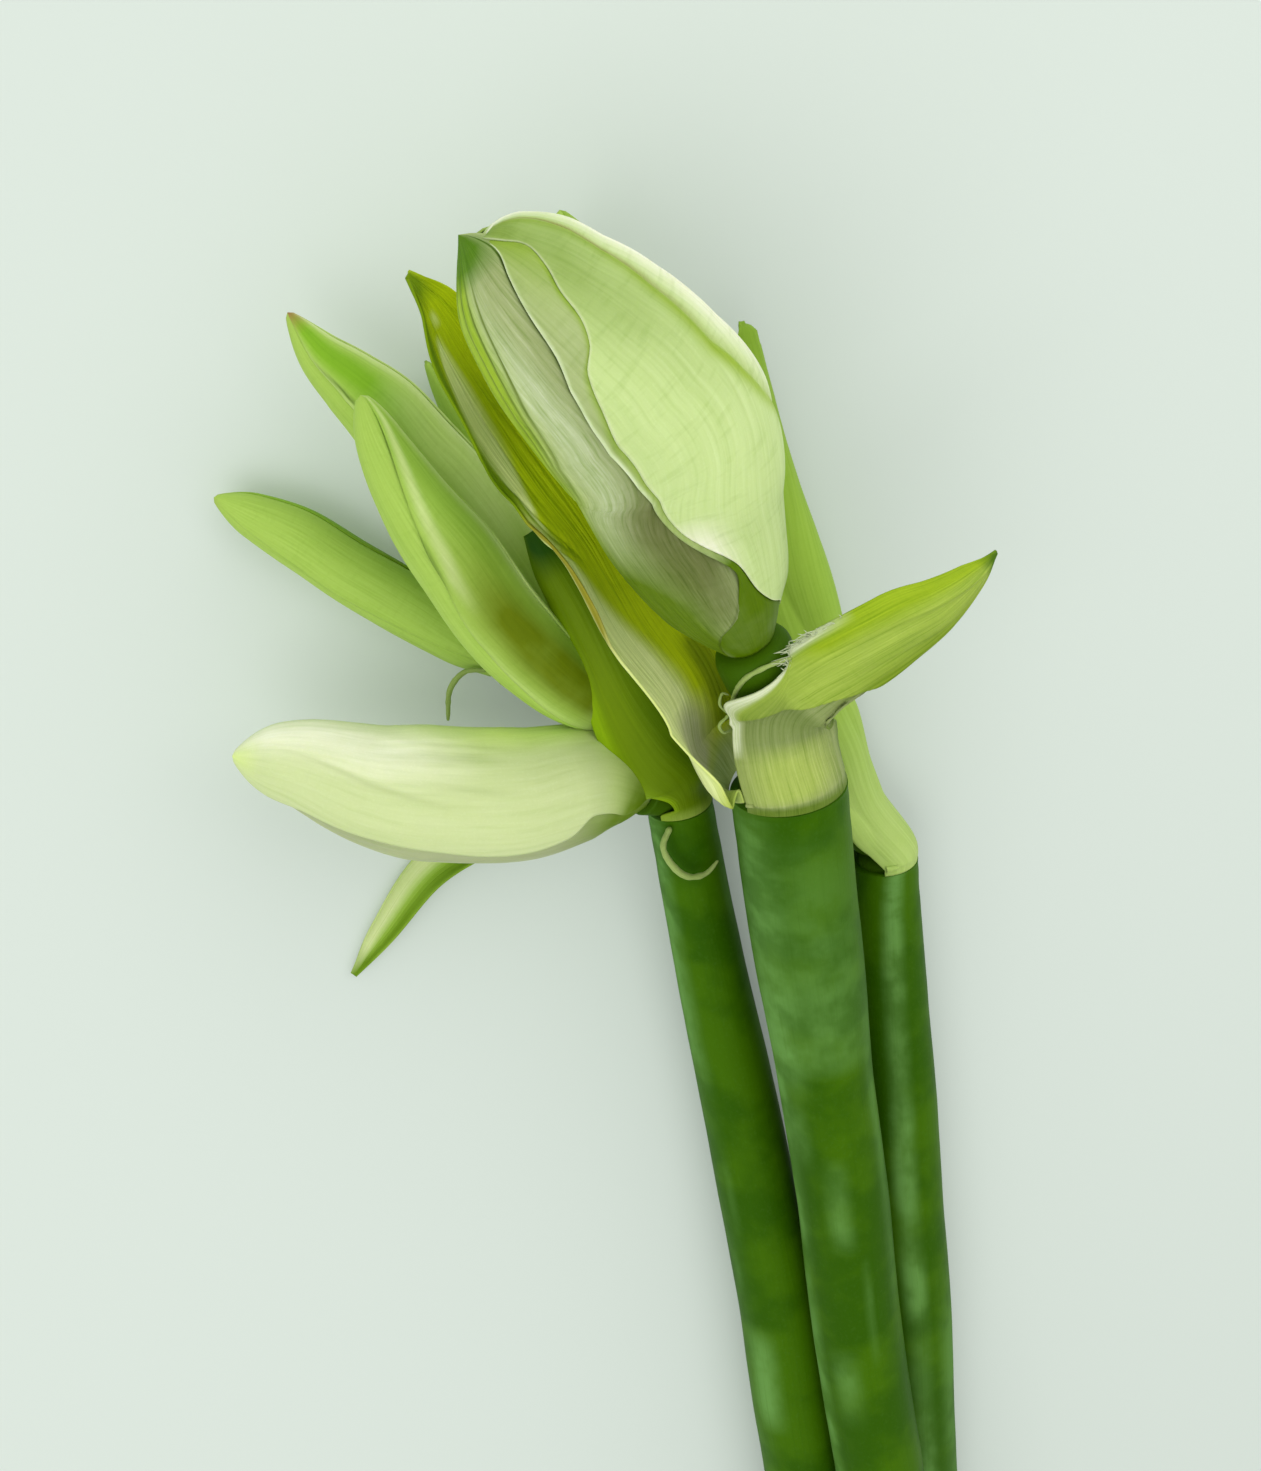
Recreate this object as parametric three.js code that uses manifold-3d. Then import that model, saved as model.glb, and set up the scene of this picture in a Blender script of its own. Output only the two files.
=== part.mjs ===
// Three cut amaryllis flower stems in bud, kept together as a bunch and lying down, in millimetres.
// The heads point to +Y, the cut ends to -Y, and the bunch lies on the plane z = 0.
// The origin is on that plane, on the flat strip that the left stem lies on, below the bunch's weight.
import * as THREE from 'three';
import Module from 'manifold-3d';
import { mergeVertices } from 'three/addons/utils/BufferGeometryUtils.js';

const wasm = await Module();
wasm.setup();

// Directions of the bunch: across it, up along the flowers, and out of its best side.
const ACROSS = new THREE.Vector3(0.978, 0, 0.208);
const FACING = new THREE.Vector3(-0.195, 0.342, 0.919);
const ALONG = new THREE.Vector3(0.071, 0.94, -0.334);

// Sheets and clearances
const BRACT_THICKNESS = 0.9;
const TOUCH_GAP = 0.35;
const DRAPE_GAP = 1.95;
const SEAM_HALF_WIDTH = 0.35;

// Stems
const SCAPE_SIDES = 20;
const SCAPE_ROWS = 14;
const STALK_SIDES = 10;
const STALK_ROWS = 7;
const HEAD_INSET = 2.4;
const HEAD_FLATNESS = 0.6;

// Buds
const FREE_EDGE_RISE = 0.14;
const TIP_CLOSING = 0.1;

// Colours and finishes
const FINISHES = {
  scape: { color: 0x3c6a1c, roughness: 0.45 },
  paleBud: { color: 0xd3e2a6, roughness: 0.55 },
  greenBud: { color: 0x9dbd55, roughness: 0.5 },
  bract: { color: 0xa9bf62, roughness: 0.6 },
  thread: { color: 0xb9c98c, roughness: 0.6 },
};

function finish(kind) {
  return new THREE.MeshStandardMaterial({ ...FINISHES[kind], metalness: 0 });
}

// Smooth curve through a table of [position, value] pairs that never overshoots them.
function through(table, x) {
  const last = table.length - 1;
  if (x <= table[0][0]) return table[0][1];
  if (x >= table[last][0]) return table[last][1];
  let k = 0;
  while (x > table[k + 1][0]) k += 1;
  const rise = (i) => (table[i + 1][1] - table[i][1]) / (table[i + 1][0] - table[i][0]);
  const slope = (i) => {
    if (i === 0) return rise(0);
    if (i === last) return rise(last - 1);
    const before = rise(i - 1);
    const after = rise(i);
    return before * after <= 0 ? 0 : (2 * before * after) / (before + after);
  };
  const span = table[k + 1][0] - table[k][0];
  const u = (x - table[k][0]) / span;
  const keep = (1 + 2 * u) * (1 - u) ** 2;
  const tilt = u * (1 - u);
  return keep * table[k][1] + (1 - keep) * table[k + 1][1]
    + span * tilt * ((1 - u) * slope(k) - u * slope(k + 1));
}

const clamp01 = (x) => Math.min(1, Math.max(0, x));
const smooth = (x) => clamp01(x) ** 2 * (3 - 2 * clamp01(x));
const curveThrough = (points) => new THREE.CatmullRomCurve3(
  points.map((point) => new THREE.Vector3(...point)), false, 'centripetal');
const direction = ([across, along, facing]) => new THREE.Vector3()
  .addScaledVector(ACROSS, across).addScaledVector(ALONG, along)
  .addScaledVector(FACING, facing).normalize();

// A limb is anything round that follows a curve: a scape, a flower stalk, a bud or a thread.
class Limb {
  constructor({ axis, girth, depth = 1 }) {
    this.curve = curveThrough(axis);
    this.girth = girth;
    this.depth = depth;
    this.samples = Array.from({ length: 61 }, (_, k) => this.frame(k / 60));
  }

  frame(t) {
    const at = this.curve.getPointAt(t);
    const along = this.curve.getTangentAt(t);
    const face = FACING.clone().addScaledVector(along, -FACING.dot(along)).normalize();
    const side = new THREE.Vector3().crossVectors(along, face);
    return { t, at, along, face, side };
  }

  // A point at an angle round the limb: 0 faces out, 90 degrees is on its right.
  point(frame, degrees, radius) {
    const angle = THREE.MathUtils.degToRad(degrees);
    return frame.at.clone()
      .addScaledVector(frame.face, Math.cos(angle) * radius * this.depth)
      .addScaledVector(frame.side, Math.sin(angle) * radius);
  }

  // Moves a point out of the limb, so that it keeps the clearance.
  pushOut(point, clearance) {
    let nearest = this.samples[0];
    for (const sample of this.samples) {
      if (sample.at.distanceToSquared(point) < nearest.at.distanceToSquared(point)) nearest = sample;
    }
    const away = point.clone().sub(nearest.at);
    const keep = through(this.girth, nearest.t) + clearance;
    if (away.length() < keep) point.copy(nearest.at).addScaledVector(away.normalize(), keep);
    return point;
  }
}

// A closed surface from rings of points, each end drawn together to one point.
function closedSurface(rings) {
  const rows = rings.length - 1;
  const columns = rings[0].length;
  const geometry = new THREE.SphereGeometry(1, columns, rows);
  const positions = geometry.getAttribute('position');
  for (let row = 0; row <= rows; row += 1) {
    for (let column = 0; column <= columns; column += 1) {
      const point = rings[rows - row][column % columns];
      positions.setXYZ(row * (columns + 1) + column, point.x, point.y, point.z);
    }
  }
  return welded(geometry);
}

function welded(geometry) {
  geometry.deleteAttribute('normal');
  geometry.deleteAttribute('uv');
  return mergeVertices(geometry, 1e-4);
}

// Round limb with flat ends
function limbGeometry(limb, rows, sides) {
  const ring = (t, scale) => {
    const frame = limb.frame(t);
    const radius = through(limb.girth, t) * scale;
    return Array.from({ length: sides }, (_, k) => limb.point(frame, (360 * k) / sides, radius));
  };
  const rings = [ring(0, 0)];
  for (let row = 0; row <= rows; row += 1) rings.push(ring(row / rows, 1));
  rings.push(ring(1, 0));
  return closedSurface(rings);
}

// Bud of overlapping tepals. Each seam is a table of angles along the bud, and each tepal
// lies between its own seam and the next, lifted at its free edges over its neighbours.
function budRing(bud, limb, t, scale) {
  const frame = limb.frame(t);
  const radius = through(bud.girth, t);
  const gap = THREE.MathUtils.radToDeg(SEAM_HALF_WIDTH / Math.max(radius, 3));
  const ring = [];
  bud.tepals.forEach((tepal, k) => {
    const next = bud.tepals[(k + 1) % bud.tepals.length];
    const turn = k + 1 === bud.tepals.length ? 360 : 0;
    const start = through(tepal.seam, t) + gap;
    const end = through(next.seam, t) + turn - gap;
    const fade = smooth((t - (tepal.rise ?? 0)) / FREE_EDGE_RISE) * smooth((1 - t) / TIP_CLOSING);
    for (let c = 0; c <= tepal.columns; c += 1) {
      const u = c / tepal.columns;
      const [first, middle, final] = tepal.lift;
      const lift = middle + (first - middle) * smooth(1 - 2 * u) + (final - middle) * smooth(2 * u - 1);
      const height = (radius + lift * fade) * scale;
      ring.push(limb.point(frame, start + (end - start) * u, height));
    }
  });
  return ring;
}

function budGeometry(bud, limb) {
  const rings = [budRing(bud, limb, 0, 0)];
  for (let row = 0; row <= bud.rows; row += 1) {
    const even = row / bud.rows;
    const t = 0.45 * even + 0.55 * (1 - Math.cos(Math.PI * even)) / 2;
    rings.push(budRing(bud, limb, t, 1));
  }
  rings.push(budRing(bud, limb, 1, 0));
  return closedSurface(rings);
}

// Three tepals wrapped over one another, turned about the bud by the given angle
function wrappedTepals(turn, columns, lift = 1.1) {
  const sway = [[0, 34], [0.3, 8], [0.6, -4], [0.85, 4], [1, 20]];
  return [0, 1, 2].map((k) => ({
    seam: sway.map(([t, angle]) => [t, turn + 120 * k + angle]),
    lift: [lift, lift * 0.35, 0],
    columns,
  }));
}

// A bract is a sheet along a midrib, curled across it, with its outer face away from the flower.
// Each station is its place, the direction of its outer face, half its width and its curl.
function bractGeometry(bract, neighbours) {
  const { stations, rows, columns, ripple = 0, waves = 5 } = bract;
  const midrib = curveThrough(stations.map((station) => station.at));
  const outward = curveThrough(stations.map((station) => direction(station.out).toArray()));
  const last = stations.length - 1;
  const halves = stations.map((station, k) => [k / last, station.half]);
  const curls = stations.map((station, k) => [k / last, station.curl]);
  const faces = [[], []];
  for (let row = 0; row <= rows; row += 1) {
    const v = row / rows;
    const at = midrib.getPoint(v);
    const along = midrib.getTangent(v);
    const out = outward.getPoint(v);
    out.addScaledVector(along, -out.dot(along)).normalize();
    const side = new THREE.Vector3().crossVectors(along, out);
    const curl = THREE.MathUtils.degToRad(through(curls, v)) / 2;
    const half = through(halves, v);
    for (let column = 0; column <= columns; column += 1) {
      const u = (2 * column) / columns - 1;
      const angle = curl * u;
      const wave = ripple * u ** 4 * Math.sin(waves * Math.PI * v + 1.7 * u) * smooth(4 * v);
      const normal = out.clone().multiplyScalar(Math.cos(angle)).addScaledVector(side, Math.sin(angle));
      const middle = at.clone()
        .addScaledVector(side, (half / curl) * Math.sin(angle))
        .addScaledVector(out, -(half / curl) * (1 - Math.cos(angle)) - BRACT_THICKNESS / 2)
        .addScaledVector(normal, wave);
      neighbours.forEach((limb) => limb.pushOut(middle, BRACT_THICKNESS / 2 + DRAPE_GAP));
      faces[0].push(middle.clone().addScaledVector(normal, BRACT_THICKNESS / 2));
      faces[1].push(middle.clone().addScaledVector(normal, -BRACT_THICKNESS / 2));
    }
  }
  return sheetGeometry(faces[0], faces[1], rows, columns);
}

// Closed sheet between an outer and an inner grid of points, split alike on both faces
function sheetGeometry(outer, inner, rows, columns) {
  const points = [...outer, ...inner];
  const wide = columns + 1;
  const at = (layer, row, column) => layer * outer.length + row * wide + column;
  const index = [];
  const quad = (a, b, c, d) => index.push(a, b, c, a, c, d);
  for (let row = 0; row < rows; row += 1) {
    for (let column = 0; column < columns; column += 1) {
      const corners = (layer) => [
        at(layer, row, column), at(layer, row, column + 1),
        at(layer, row + 1, column + 1), at(layer, row + 1, column),
      ];
      const [a, b, c, d] = corners(0);
      index.push(a, b, c, a, c, d);
      const [e, f, g, h] = corners(1);
      index.push(e, g, f, e, h, g);
    }
    quad(at(0, row + 1, 0), at(1, row + 1, 0), at(1, row, 0), at(0, row, 0));
    quad(at(0, row, columns), at(1, row, columns), at(1, row + 1, columns), at(0, row + 1, columns));
  }
  for (let column = 0; column < columns; column += 1) {
    quad(at(1, 0, column), at(1, 0, column + 1), at(0, 0, column + 1), at(0, 0, column));
    quad(at(0, rows, column), at(0, rows, column + 1), at(1, rows, column + 1), at(1, rows, column));
  }
  const geometry = new THREE.BufferGeometry();
  geometry.setAttribute('position', new THREE.Float32BufferAttribute(
    points.flatMap((point) => point.toArray()), 3));
  geometry.setIndex(index);
  return geometry;
}

// Joining and cutting
function toSolid(geometry) {
  const plain = geometry.index ? geometry : mergeVertices(geometry);
  return new wasm.Manifold(new wasm.Mesh({
    numProp: 3,
    vertProperties: new Float32Array(plain.getAttribute('position').array),
    triVerts: new Uint32Array(plain.index.array),
  }));
}

function toGeometry(solid) {
  const mesh = solid.getMesh();
  const geometry = new THREE.BufferGeometry();
  geometry.setAttribute('position', new THREE.Float32BufferAttribute(mesh.vertProperties, 3));
  geometry.setIndex(new THREE.Uint32BufferAttribute(mesh.triVerts, 1));
  return geometry;
}

function laidFlat(solid) {
  const below = new THREE.BoxGeometry(800, 800, 100).translate(0, 0, -50);
  return solid.subtract(toSolid(welded(below)));
}

// Stems: the scape from its umbel to the cut end, and the stalks that carry the buds
const middleScape = new Limb({
  axis: [
    [-4, 139, 50.5], [2, 104, 46], [9, 69, 41], [16, 33, 36.5], [23, -4, 33.5],
    [28.8, -43, 31.6], [35.6, -83, 31.1], [41.1, -113, 31.5], [46.2, -157, 33.8], [51.8, -197, 36.4],
  ],
  girth: [[0, 15.4], [0.15, 15.2], [0.3, 13.8], [0.5, 13.9], [1, 14.6]],
});
const leftScape = new Limb({
  axis: [
    [-26, 124, 21], [-21, 99, 18], [-18, 85, 16], [-12, 57, 13.2], [-7, 35, 11.6], [-4, 21, 11.2],
    [3.2, -16, 11.5], [10.6, -55, 12.1], [16.8, -96, 12.5], [21.8, -126, 12.6], [33.6, -217, 12.6],
  ],
  girth: [[0, 9.2], [0.1, 9.8], [0.3, 11.6], [0.5, 12.7], [0.65, 13.3], [1, 13.3]],
});
const rightScape = new Limb({
  axis: [
    [36, 100, 17], [37.5, 86, 15.5], [42, 51, 13.2], [47, 15, 12.1], [51, -23, 12.2],
    [56, -62, 12.4], [60, -104, 12.5], [63, -134, 12.6], [73, -228, 12.6],
  ],
  girth: [[0, 10.2], [0.12, 11.6], [0.5, 13], [1, 13]],
});

// Buds, from base to tip
const mainBud = {
  axis: [
    [-19, 183, 60], [-36, 216.3, 70], [-43, 234.5, 74], [-53.5, 247.7, 77],
    [-64, 258.2, 79], [-76.3, 270, 80], [-86, 280, 80],
  ],
  girth: [
    [0, 7], [0.05, 10.2], [0.14, 14.8], [0.25, 18.4], [0.33, 20.5], [0.43, 22.8], [0.55, 23.6],
    [0.63, 23], [0.76, 20.3], [0.865, 16], [0.93, 12.1], [0.97, 8.4], [1, 4.4],
  ],
  rows: 26,
  tepals: [
    { seam: [[0, -100], [0.3, -112], [0.6, -118], [1, -95]], lift: [1.5, 0.7, 0.4], columns: 8 },
    {
      seam: [
        [0, -60], [0.1, -32], [0.145, -10], [0.2, 1.5], [0.26, 7], [0.33, -3], [0.4, -15], [0.47, -26],
        [0.55, -35], [0.67, -37], [0.74, -32], [0.8, -24.5], [0.87, -19], [0.93, -9.5], [1, 4],
      ],
      lift: [1.3, 1.1, 0.8],
      columns: 2,
      rise: 0.15,
    },
    {
      seam: [
        [0, 100], [0.085, 55], [0.135, 30], [0.195, 17.5], [0.28, 10], [0.33, 1], [0.39, -11.5],
        [0.46, -21], [0.55, -31], [0.63, -31], [0.7, -26], [0.75, -17.5], [0.775, -6], [0.81, 1.5],
        [0.86, 6], [0.92, 22], [1, 50],
      ],
      lift: [2.3, 2, 2.2],
      columns: 11,
    },
    {
      seam: [
        [0, 140], [0.2, 124], [0.3, 102], [0.38, 76], [0.46, 86], [0.56, 98],
        [0.7, 104], [0.9, 100], [1, 112],
      ],
      lift: [0.2, 0.5, 0.2],
      columns: 4,
    },
    { seam: [[0, 200], [0.4, 178], [0.8, 186], [1, 190]], lift: [1.4, 0.7, 0.2], columns: 4 },
  ],
};
const backBud = {
  axis: [[-21, 180, 25.5], [-26, 192, 22.5], [-42, 236, 18.5], [-57, 282, 18]],
  girth: [[0, 5], [0.1, 9], [0.35, 14], [0.55, 14.4], [0.8, 10], [0.92, 6], [1, 1.6]],
  rows: 11,
  tepals: wrappedTepals(0, 5),
};
const lowBud = {
  axis: [
    [-38, 131, 27.5], [-52, 137, 32.5], [-73, 137, 37.5], [-94, 139, 38],
    [-109, 142, 37], [-128, 149, 35], [-145, 152, 33],
  ],
  girth: [
    [0, 5.5], [0.08, 11], [0.2, 15], [0.4, 16.8], [0.55, 16.8], [0.7, 14.4], [0.85, 10.4],
    [0.95, 6.4], [1, 2.4],
  ],
  depth: 0.94,
  rows: 18,
  tepals: [
    {
      seam: [
        [0, 0], [0.04, -14], [0.13, -34], [0.22, -32], [0.28, -49], [0.4, -55],
        [0.6, -48], [0.8, -56], [0.9, -70], [1, -75],
      ],
      lift: [1.5, 0.9, 1.2],
      columns: 9,
    },
    { seam: [[0, 120], [0.5, 112], [1, 118]], lift: [0, 0.4, 0.9], columns: 4 },
    { seam: [[0, 205], [0.5, 198], [1, 200]], lift: [0, 0.5, 0.3], columns: 5 },
  ],
};
const slimBud = {
  axis: [
    [-74, 165, 10], [-99, 183, 9], [-112, 192, 9], [-124, 201, 9], [-136, 208, 9],
    [-145, 213, 9.5],
  ],
  girth: [[0, 4.6], [0.15, 7.4], [0.4, 8.6], [0.7, 8], [0.88, 5.6], [1, 1.5]],
  rows: 13,
  tepals: wrappedTepals(40, 5, 0.6),
};
const upperBud = {
  axis: [
    [-55, 166, 18.5], [-74, 196, 21.5], [-84, 211, 22.5], [-94, 224, 23.5], [-102, 235, 25],
    [-110, 243, 26], [-117, 250, 27], [-124, 260, 27],
  ],
  girth: [[0, 5], [0.1, 8.2], [0.3, 11.2], [0.5, 11.6], [0.7, 10], [0.85, 6.8], [1, 1.5]],
  rows: 14,
  tepals: wrappedTepals(-55, 6, 0.8),
};
const frontBud = {
  axis: [
    [-51, 158, 29], [-66, 172, 40], [-78, 187, 45], [-88, 203, 47], [-96, 215, 47.5],
    [-104, 230, 47], [-109, 243, 46],
  ],
  girth: [[0, 4.6], [0.12, 8], [0.35, 10.8], [0.6, 10.6], [0.8, 7.8], [0.92, 5], [1, 2.4]],
  rows: 14,
  tepals: wrappedTepals(-35, 6, 0.8),
};
const smallBud = {
  axis: [[-44, 165, 6], [-67, 203, 5.2], [-90, 245, 5.2]],
  girth: [[0, 2.6], [0.4, 5.3], [0.7, 4.6], [1, 1.1]],
  rows: 9,
  tepals: wrappedTepals(20, 4, 0.4),
};
const sheathedBud = {
  axis: [[16, 152, 14.5], [9, 173, 14], [1, 193, 14], [-6, 213, 14], [-9, 234, 14], [-9, 249, 14]],
  girth: [[0, 4.6], [0.12, 8], [0.4, 10], [0.6, 9.6], [0.85, 6], [1, 1.8]],
  rows: 10,
  tepals: wrappedTepals(60, 5, 0.6),
};

// Stalks from the umbels to the buds, each ending in line with the base of its bud
function stalkTo(bud, axis, girth) {
  const base = new Limb(bud).frame(0);
  const before = (distance) => base.at.clone().addScaledVector(base.along, -distance).toArray();
  return new Limb({ axis: [...axis, before(6), before(3), before(TOUCH_GAP)], girth });
}

const mainStalk = stalkTo(
  mainBud,
  [[-3, 139, 50], [-8, 157, 53]],
  [[0, 4.2], [0.5, 4.6], [0.8, 8], [1, 7.2]],
);
const backStalk = stalkTo(
  backBud,
  [[33, 104, 18], [25, 111, 21.5], [16, 120, 22.5], [6, 132, 24.5], [-8, 153, 26]],
  [[0, 3.8], [0.6, 4], [0.85, 6.2], [1, 5]],
);
const lowStalk = stalkTo(lowBud, [[-24, 128, 21]], [[0, 4.5], [1, 5.6]]);
const slimStalk = stalkTo(
  slimBud,
  [[-25, 128, 20], [-30, 138, 15.5], [-39, 144, 11], [-54, 151, 9.5]],
  [[0, 3.4], [0.5, 3.2], [0.85, 5.2], [1, 4.6]],
);
const upperStalk = stalkTo(
  upperBud,
  [[-23, 128, 19], [-37, 148, 16.5]],
  [[0, 3.4], [0.5, 3.4], [0.85, 5.6], [1, 5]],
);
const frontStalk = stalkTo(
  frontBud,
  [[-25, 130, 21], [-34, 147, 18]],
  [[0, 3.4], [0.5, 3.4], [0.85, 5.2], [1, 4.6]],
);
const smallStalk = stalkTo(
  smallBud,
  [[-25, 129, 20], [-29, 139, 14], [-34, 149, 8.5]],
  [[0, 3], [0.5, 2.6], [1, 2.6]],
);
const sheathedStalk = stalkTo(
  sheathedBud,
  [[35, 103, 17], [25, 128, 15.5]],
  [[0, 4], [0.5, 4], [0.85, 5.6], [1, 4.6]],
);

// Place on the rim of a scape's top, at an angle to the right of its best side, a little above it
function rim(scape, degrees, climb) {
  const top = scape.frame(0);
  const radius = scape.girth[0][1] - 0.1;
  return scape.point(top, -degrees, radius).addScaledVector(top.along, -climb).toArray();
}

function rimStations(scape, degrees, halfAngle) {
  const out = [Math.sin(THREE.MathUtils.degToRad(degrees)), 0, Math.cos(THREE.MathUtils.degToRad(degrees))];
  const half = scape.girth[0][1] * THREE.MathUtils.degToRad(halfAngle);
  return [TOUCH_GAP, 4].map((climb) => ({
    at: rim(scape, degrees, climb), out, half, curl: 2 * halfAngle,
  }));
}

const station = (at, out, half, curl) => ({ at, out, half, curl });

// Bracts, from the rim of the scape to the tip
const middleLeftBract = {
  stations: [
    ...rimStations(middleScape, -114, 61),
    station([-24, 154, 46], [-0.75, -0.2, -0.6], 13, 100),
    station([-32, 165, 48], [-0.55, -0.3, -0.78], 14, 80),
    station([-45, 185, 49.5], [-0.45, -0.3, -0.84], 14, 75),
    station([-57, 206, 51], [-0.4, -0.25, -0.88], 12.5, 75),
    station([-69, 223, 53], [-0.38, -0.25, -0.9], 15.5, 75),
    station([-79, 239, 56], [-0.4, -0.28, -0.87], 15.5, 80),
    station([-88, 253, 59.5], [-0.45, -0.3, -0.84], 11.5, 80),
    station([-94, 264, 62.5], [-0.5, -0.35, -0.8], 7, 80),
    station([-99, 271, 65], [-0.5, -0.35, -0.8], 1.2, 60),
  ],
  rows: 30,
  columns: 10,
  ripple: 1.6,
  waves: 7,
};
const middleRightBract = {
  stations: [
    ...rimStations(middleScape, 16, 65),
    station([-6, 153, 65.5], [0.2, 0, 0.98], 16.5, 108),
    station([-7.5, 162, 67], [0.1, -0.2, 0.95], 16, 84),
    station([-3, 169, 71.5], [0.12, -0.6, 0.8], 16, 110),
    station([5, 175, 75], [0.35, -0.7, 0.65], 17, 150),
    station([16, 182, 77], [0.45, -0.75, 0.48], 17, 175),
    station([27, 189, 77], [0.5, -0.8, 0.4], 14.5, 180),
    station([35, 197, 75], [0.55, -0.8, 0.3], 9, 165),
    station([40, 204, 72], [0.6, -0.75, 0.3], 1.2, 90),
  ],
  rows: 24,
  columns: 10,
  ripple: 0.9,
  waves: 5,
};
const leftFrontBract = {
  stations: [
    ...rimStations(leftScape, 40, 58),
    station([-28, 137, 35], [0.3, 0, 0.95], 12, 90),
    station([-36, 149, 41], [0.05, 0, 1], 10.5, 80),
    station([-47, 167, 44.5], [0, 0.05, 1], 9, 80),
    station([-56, 185, 44.5], [0, 0.05, 1], 7.5, 80),
    station([-63, 198, 43.5], [0, 0.05, 1], 6, 80),
    station([-69, 208, 42], [0, 0.05, 1], 2.2, 60),
  ],
  rows: 16,
  columns: 8,
  ripple: 0.5,
};
const leftBackBract = {
  stations: [
    ...rimStations(leftScape, -148, 46),
    station([-37, 127, 8.5], [-0.2, -0.2, -1], 7.2, 85),
    station([-44, 123, 5.6], [0, -0.2, -1], 7.5, 90),
    station([-57, 118, 4.5], [0, -0.2, -1], 7.5, 100),
    station([-77, 112, 3.6], [0, -0.2, -1], 7, 110),
    station([-94, 102, 3], [0.1, -0.2, -1], 6.2, 110),
    station([-108, 84, 2.4], [0.1, -0.1, -1], 4.2, 110),
    station([-117, 71, 2], [0.1, -0.1, -1], 0.8, 60),
  ],
  rows: 18,
  columns: 8,
  ripple: 0.4,
};
const rightFrontBract = {
  stations: [
    ...rimStations(rightScape, 58, 62),
    station([31, 121, 23], [0.75, 0.1, 0.65], 12.5, 124),
    station([24.5, 139, 23], [0.75, 0.15, 0.64], 14, 138),
    station([18.5, 152, 23], [0.75, 0.2, 0.63], 15, 145),
    station([11.5, 172, 23], [0.75, 0.2, 0.63], 15.5, 145),
    station([4.5, 191, 22.5], [0.75, 0.2, 0.63], 15, 145),
    station([0.5, 208, 22], [0.75, 0.2, 0.63], 14, 145),
    station([-3, 224, 20.5], [0.75, 0.15, 0.6], 10.5, 140),
    station([-7, 241, 17.5], [0.75, 0.1, 0.6], 5.5, 120),
    station([-9, 254, 15], [0.75, 0.1, 0.6], 1, 60),
  ],
  rows: 22,
  columns: 8,
  ripple: 0.5,
};
const rightBackBract = {
  stations: [
    ...rimStations(rightScape, -140, 60),
    station([26, 112, 7.5], [-0.6, -0.1, -0.8], 10.5, 110),
    station([17, 131, 5.5], [-0.6, -0.1, -0.8], 11, 115),
    station([8, 148, 5], [-0.75, -0.15, -0.65], 12, 130),
    station([0, 168, 5], [-0.75, -0.15, -0.65], 12.5, 130),
    station([-7, 188, 5], [-0.75, -0.15, -0.65], 12.5, 130),
    station([-14, 208, 6], [-0.75, -0.1, -0.6], 11.5, 130),
    station([-17, 227, 7], [-0.75, 0, -0.6], 8.5, 120),
    station([-14, 246, 10], [-0.75, 0, -0.6], 1, 60),
  ],
  rows: 20,
  columns: 7,
  ripple: 0.4,
};

// Threads: the thin papery bracteoles among the flowers
const threads = {
  thread_loop: {
    axis: [
      [-30.6, 121, 29.4], [-33, 116, 31.3], [-30, 110, 32.5], [-26, 107, 32.5],
      [-21, 107, 31.5], [-17, 110, 30],
    ],
    girth: [[0, 0.8], [0.5, 1], [1, 0.5]],
    rows: 20,
  },
  thread_front: {
    axis: [
      [-21, 161, 54], [-22, 168, 60], [-21, 175, 67], [-17, 178, 69],
      [-13.5, 179.5, 69.8], [-10.5, 180.5, 70.2],
    ],
    girth: [[0, 0.5], [0.5, 0.7], [1, 0.5]],
    rows: 22,
  },
  thread_left: {
    axis: [[-78, 165, 16.4], [-84, 165, 17], [-88, 161, 18], [-89, 152, 18]],
    girth: [[0, 0.6], [0.5, 0.8], [1, 0.5]],
    rows: 12,
  },
};

// Nodes
const bunch = new THREE.Group();
const limbs = {};

function addNode(name, geometry, kind) {
  const mesh = new THREE.Mesh(geometry, finish(kind));
  mesh.name = name;
  bunch.add(mesh);
}

// A scape, the rounded head that its stalks stand on, and the stalks, grown as one piece
function addStem(name, scape, stalks) {
  const top = scape.frame(0);
  const head = new THREE.SphereGeometry(scape.girth[0][1] - HEAD_INSET, 16, 10);
  head.scale(1, 1, HEAD_FLATNESS);
  head.applyQuaternion(new THREE.Quaternion().setFromUnitVectors(new THREE.Vector3(0, 0, -1), top.along));
  head.translate(...top.at.toArray());
  let stem = toSolid(limbGeometry(scape, SCAPE_ROWS, SCAPE_SIDES)).add(toSolid(welded(head)));
  for (const stalk of stalks) {
    stem = stem.add(toSolid(limbGeometry(stalk, STALK_ROWS, STALK_SIDES)));
  }
  addNode(name, toGeometry(laidFlat(stem)), 'scape');
}

function addBud(name, bud, kind) {
  limbs[name] = new Limb(bud);
  const geometry = budGeometry(bud, limbs[name]);
  geometry.computeBoundingBox();
  const lowest = geometry.boundingBox.min.z;
  addNode(name, lowest < 0 ? toGeometry(laidFlat(toSolid(geometry))) : geometry, kind);
}

addStem('scape_middle', middleScape, [mainStalk]);
addStem('scape_left', leftScape, [lowStalk, slimStalk, upperStalk, frontStalk, smallStalk]);
addStem('scape_right', rightScape, [sheathedStalk, backStalk]);

addBud('bud_main', mainBud, 'paleBud');
addBud('bud_back', backBud, 'greenBud');
addBud('bud_low', lowBud, 'paleBud');
addBud('bud_slim', slimBud, 'greenBud');
addBud('bud_upper', upperBud, 'greenBud');
addBud('bud_front', frontBud, 'greenBud');
addBud('bud_small', smallBud, 'greenBud');
addBud('bud_sheathed', sheathedBud, 'greenBud');

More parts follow.
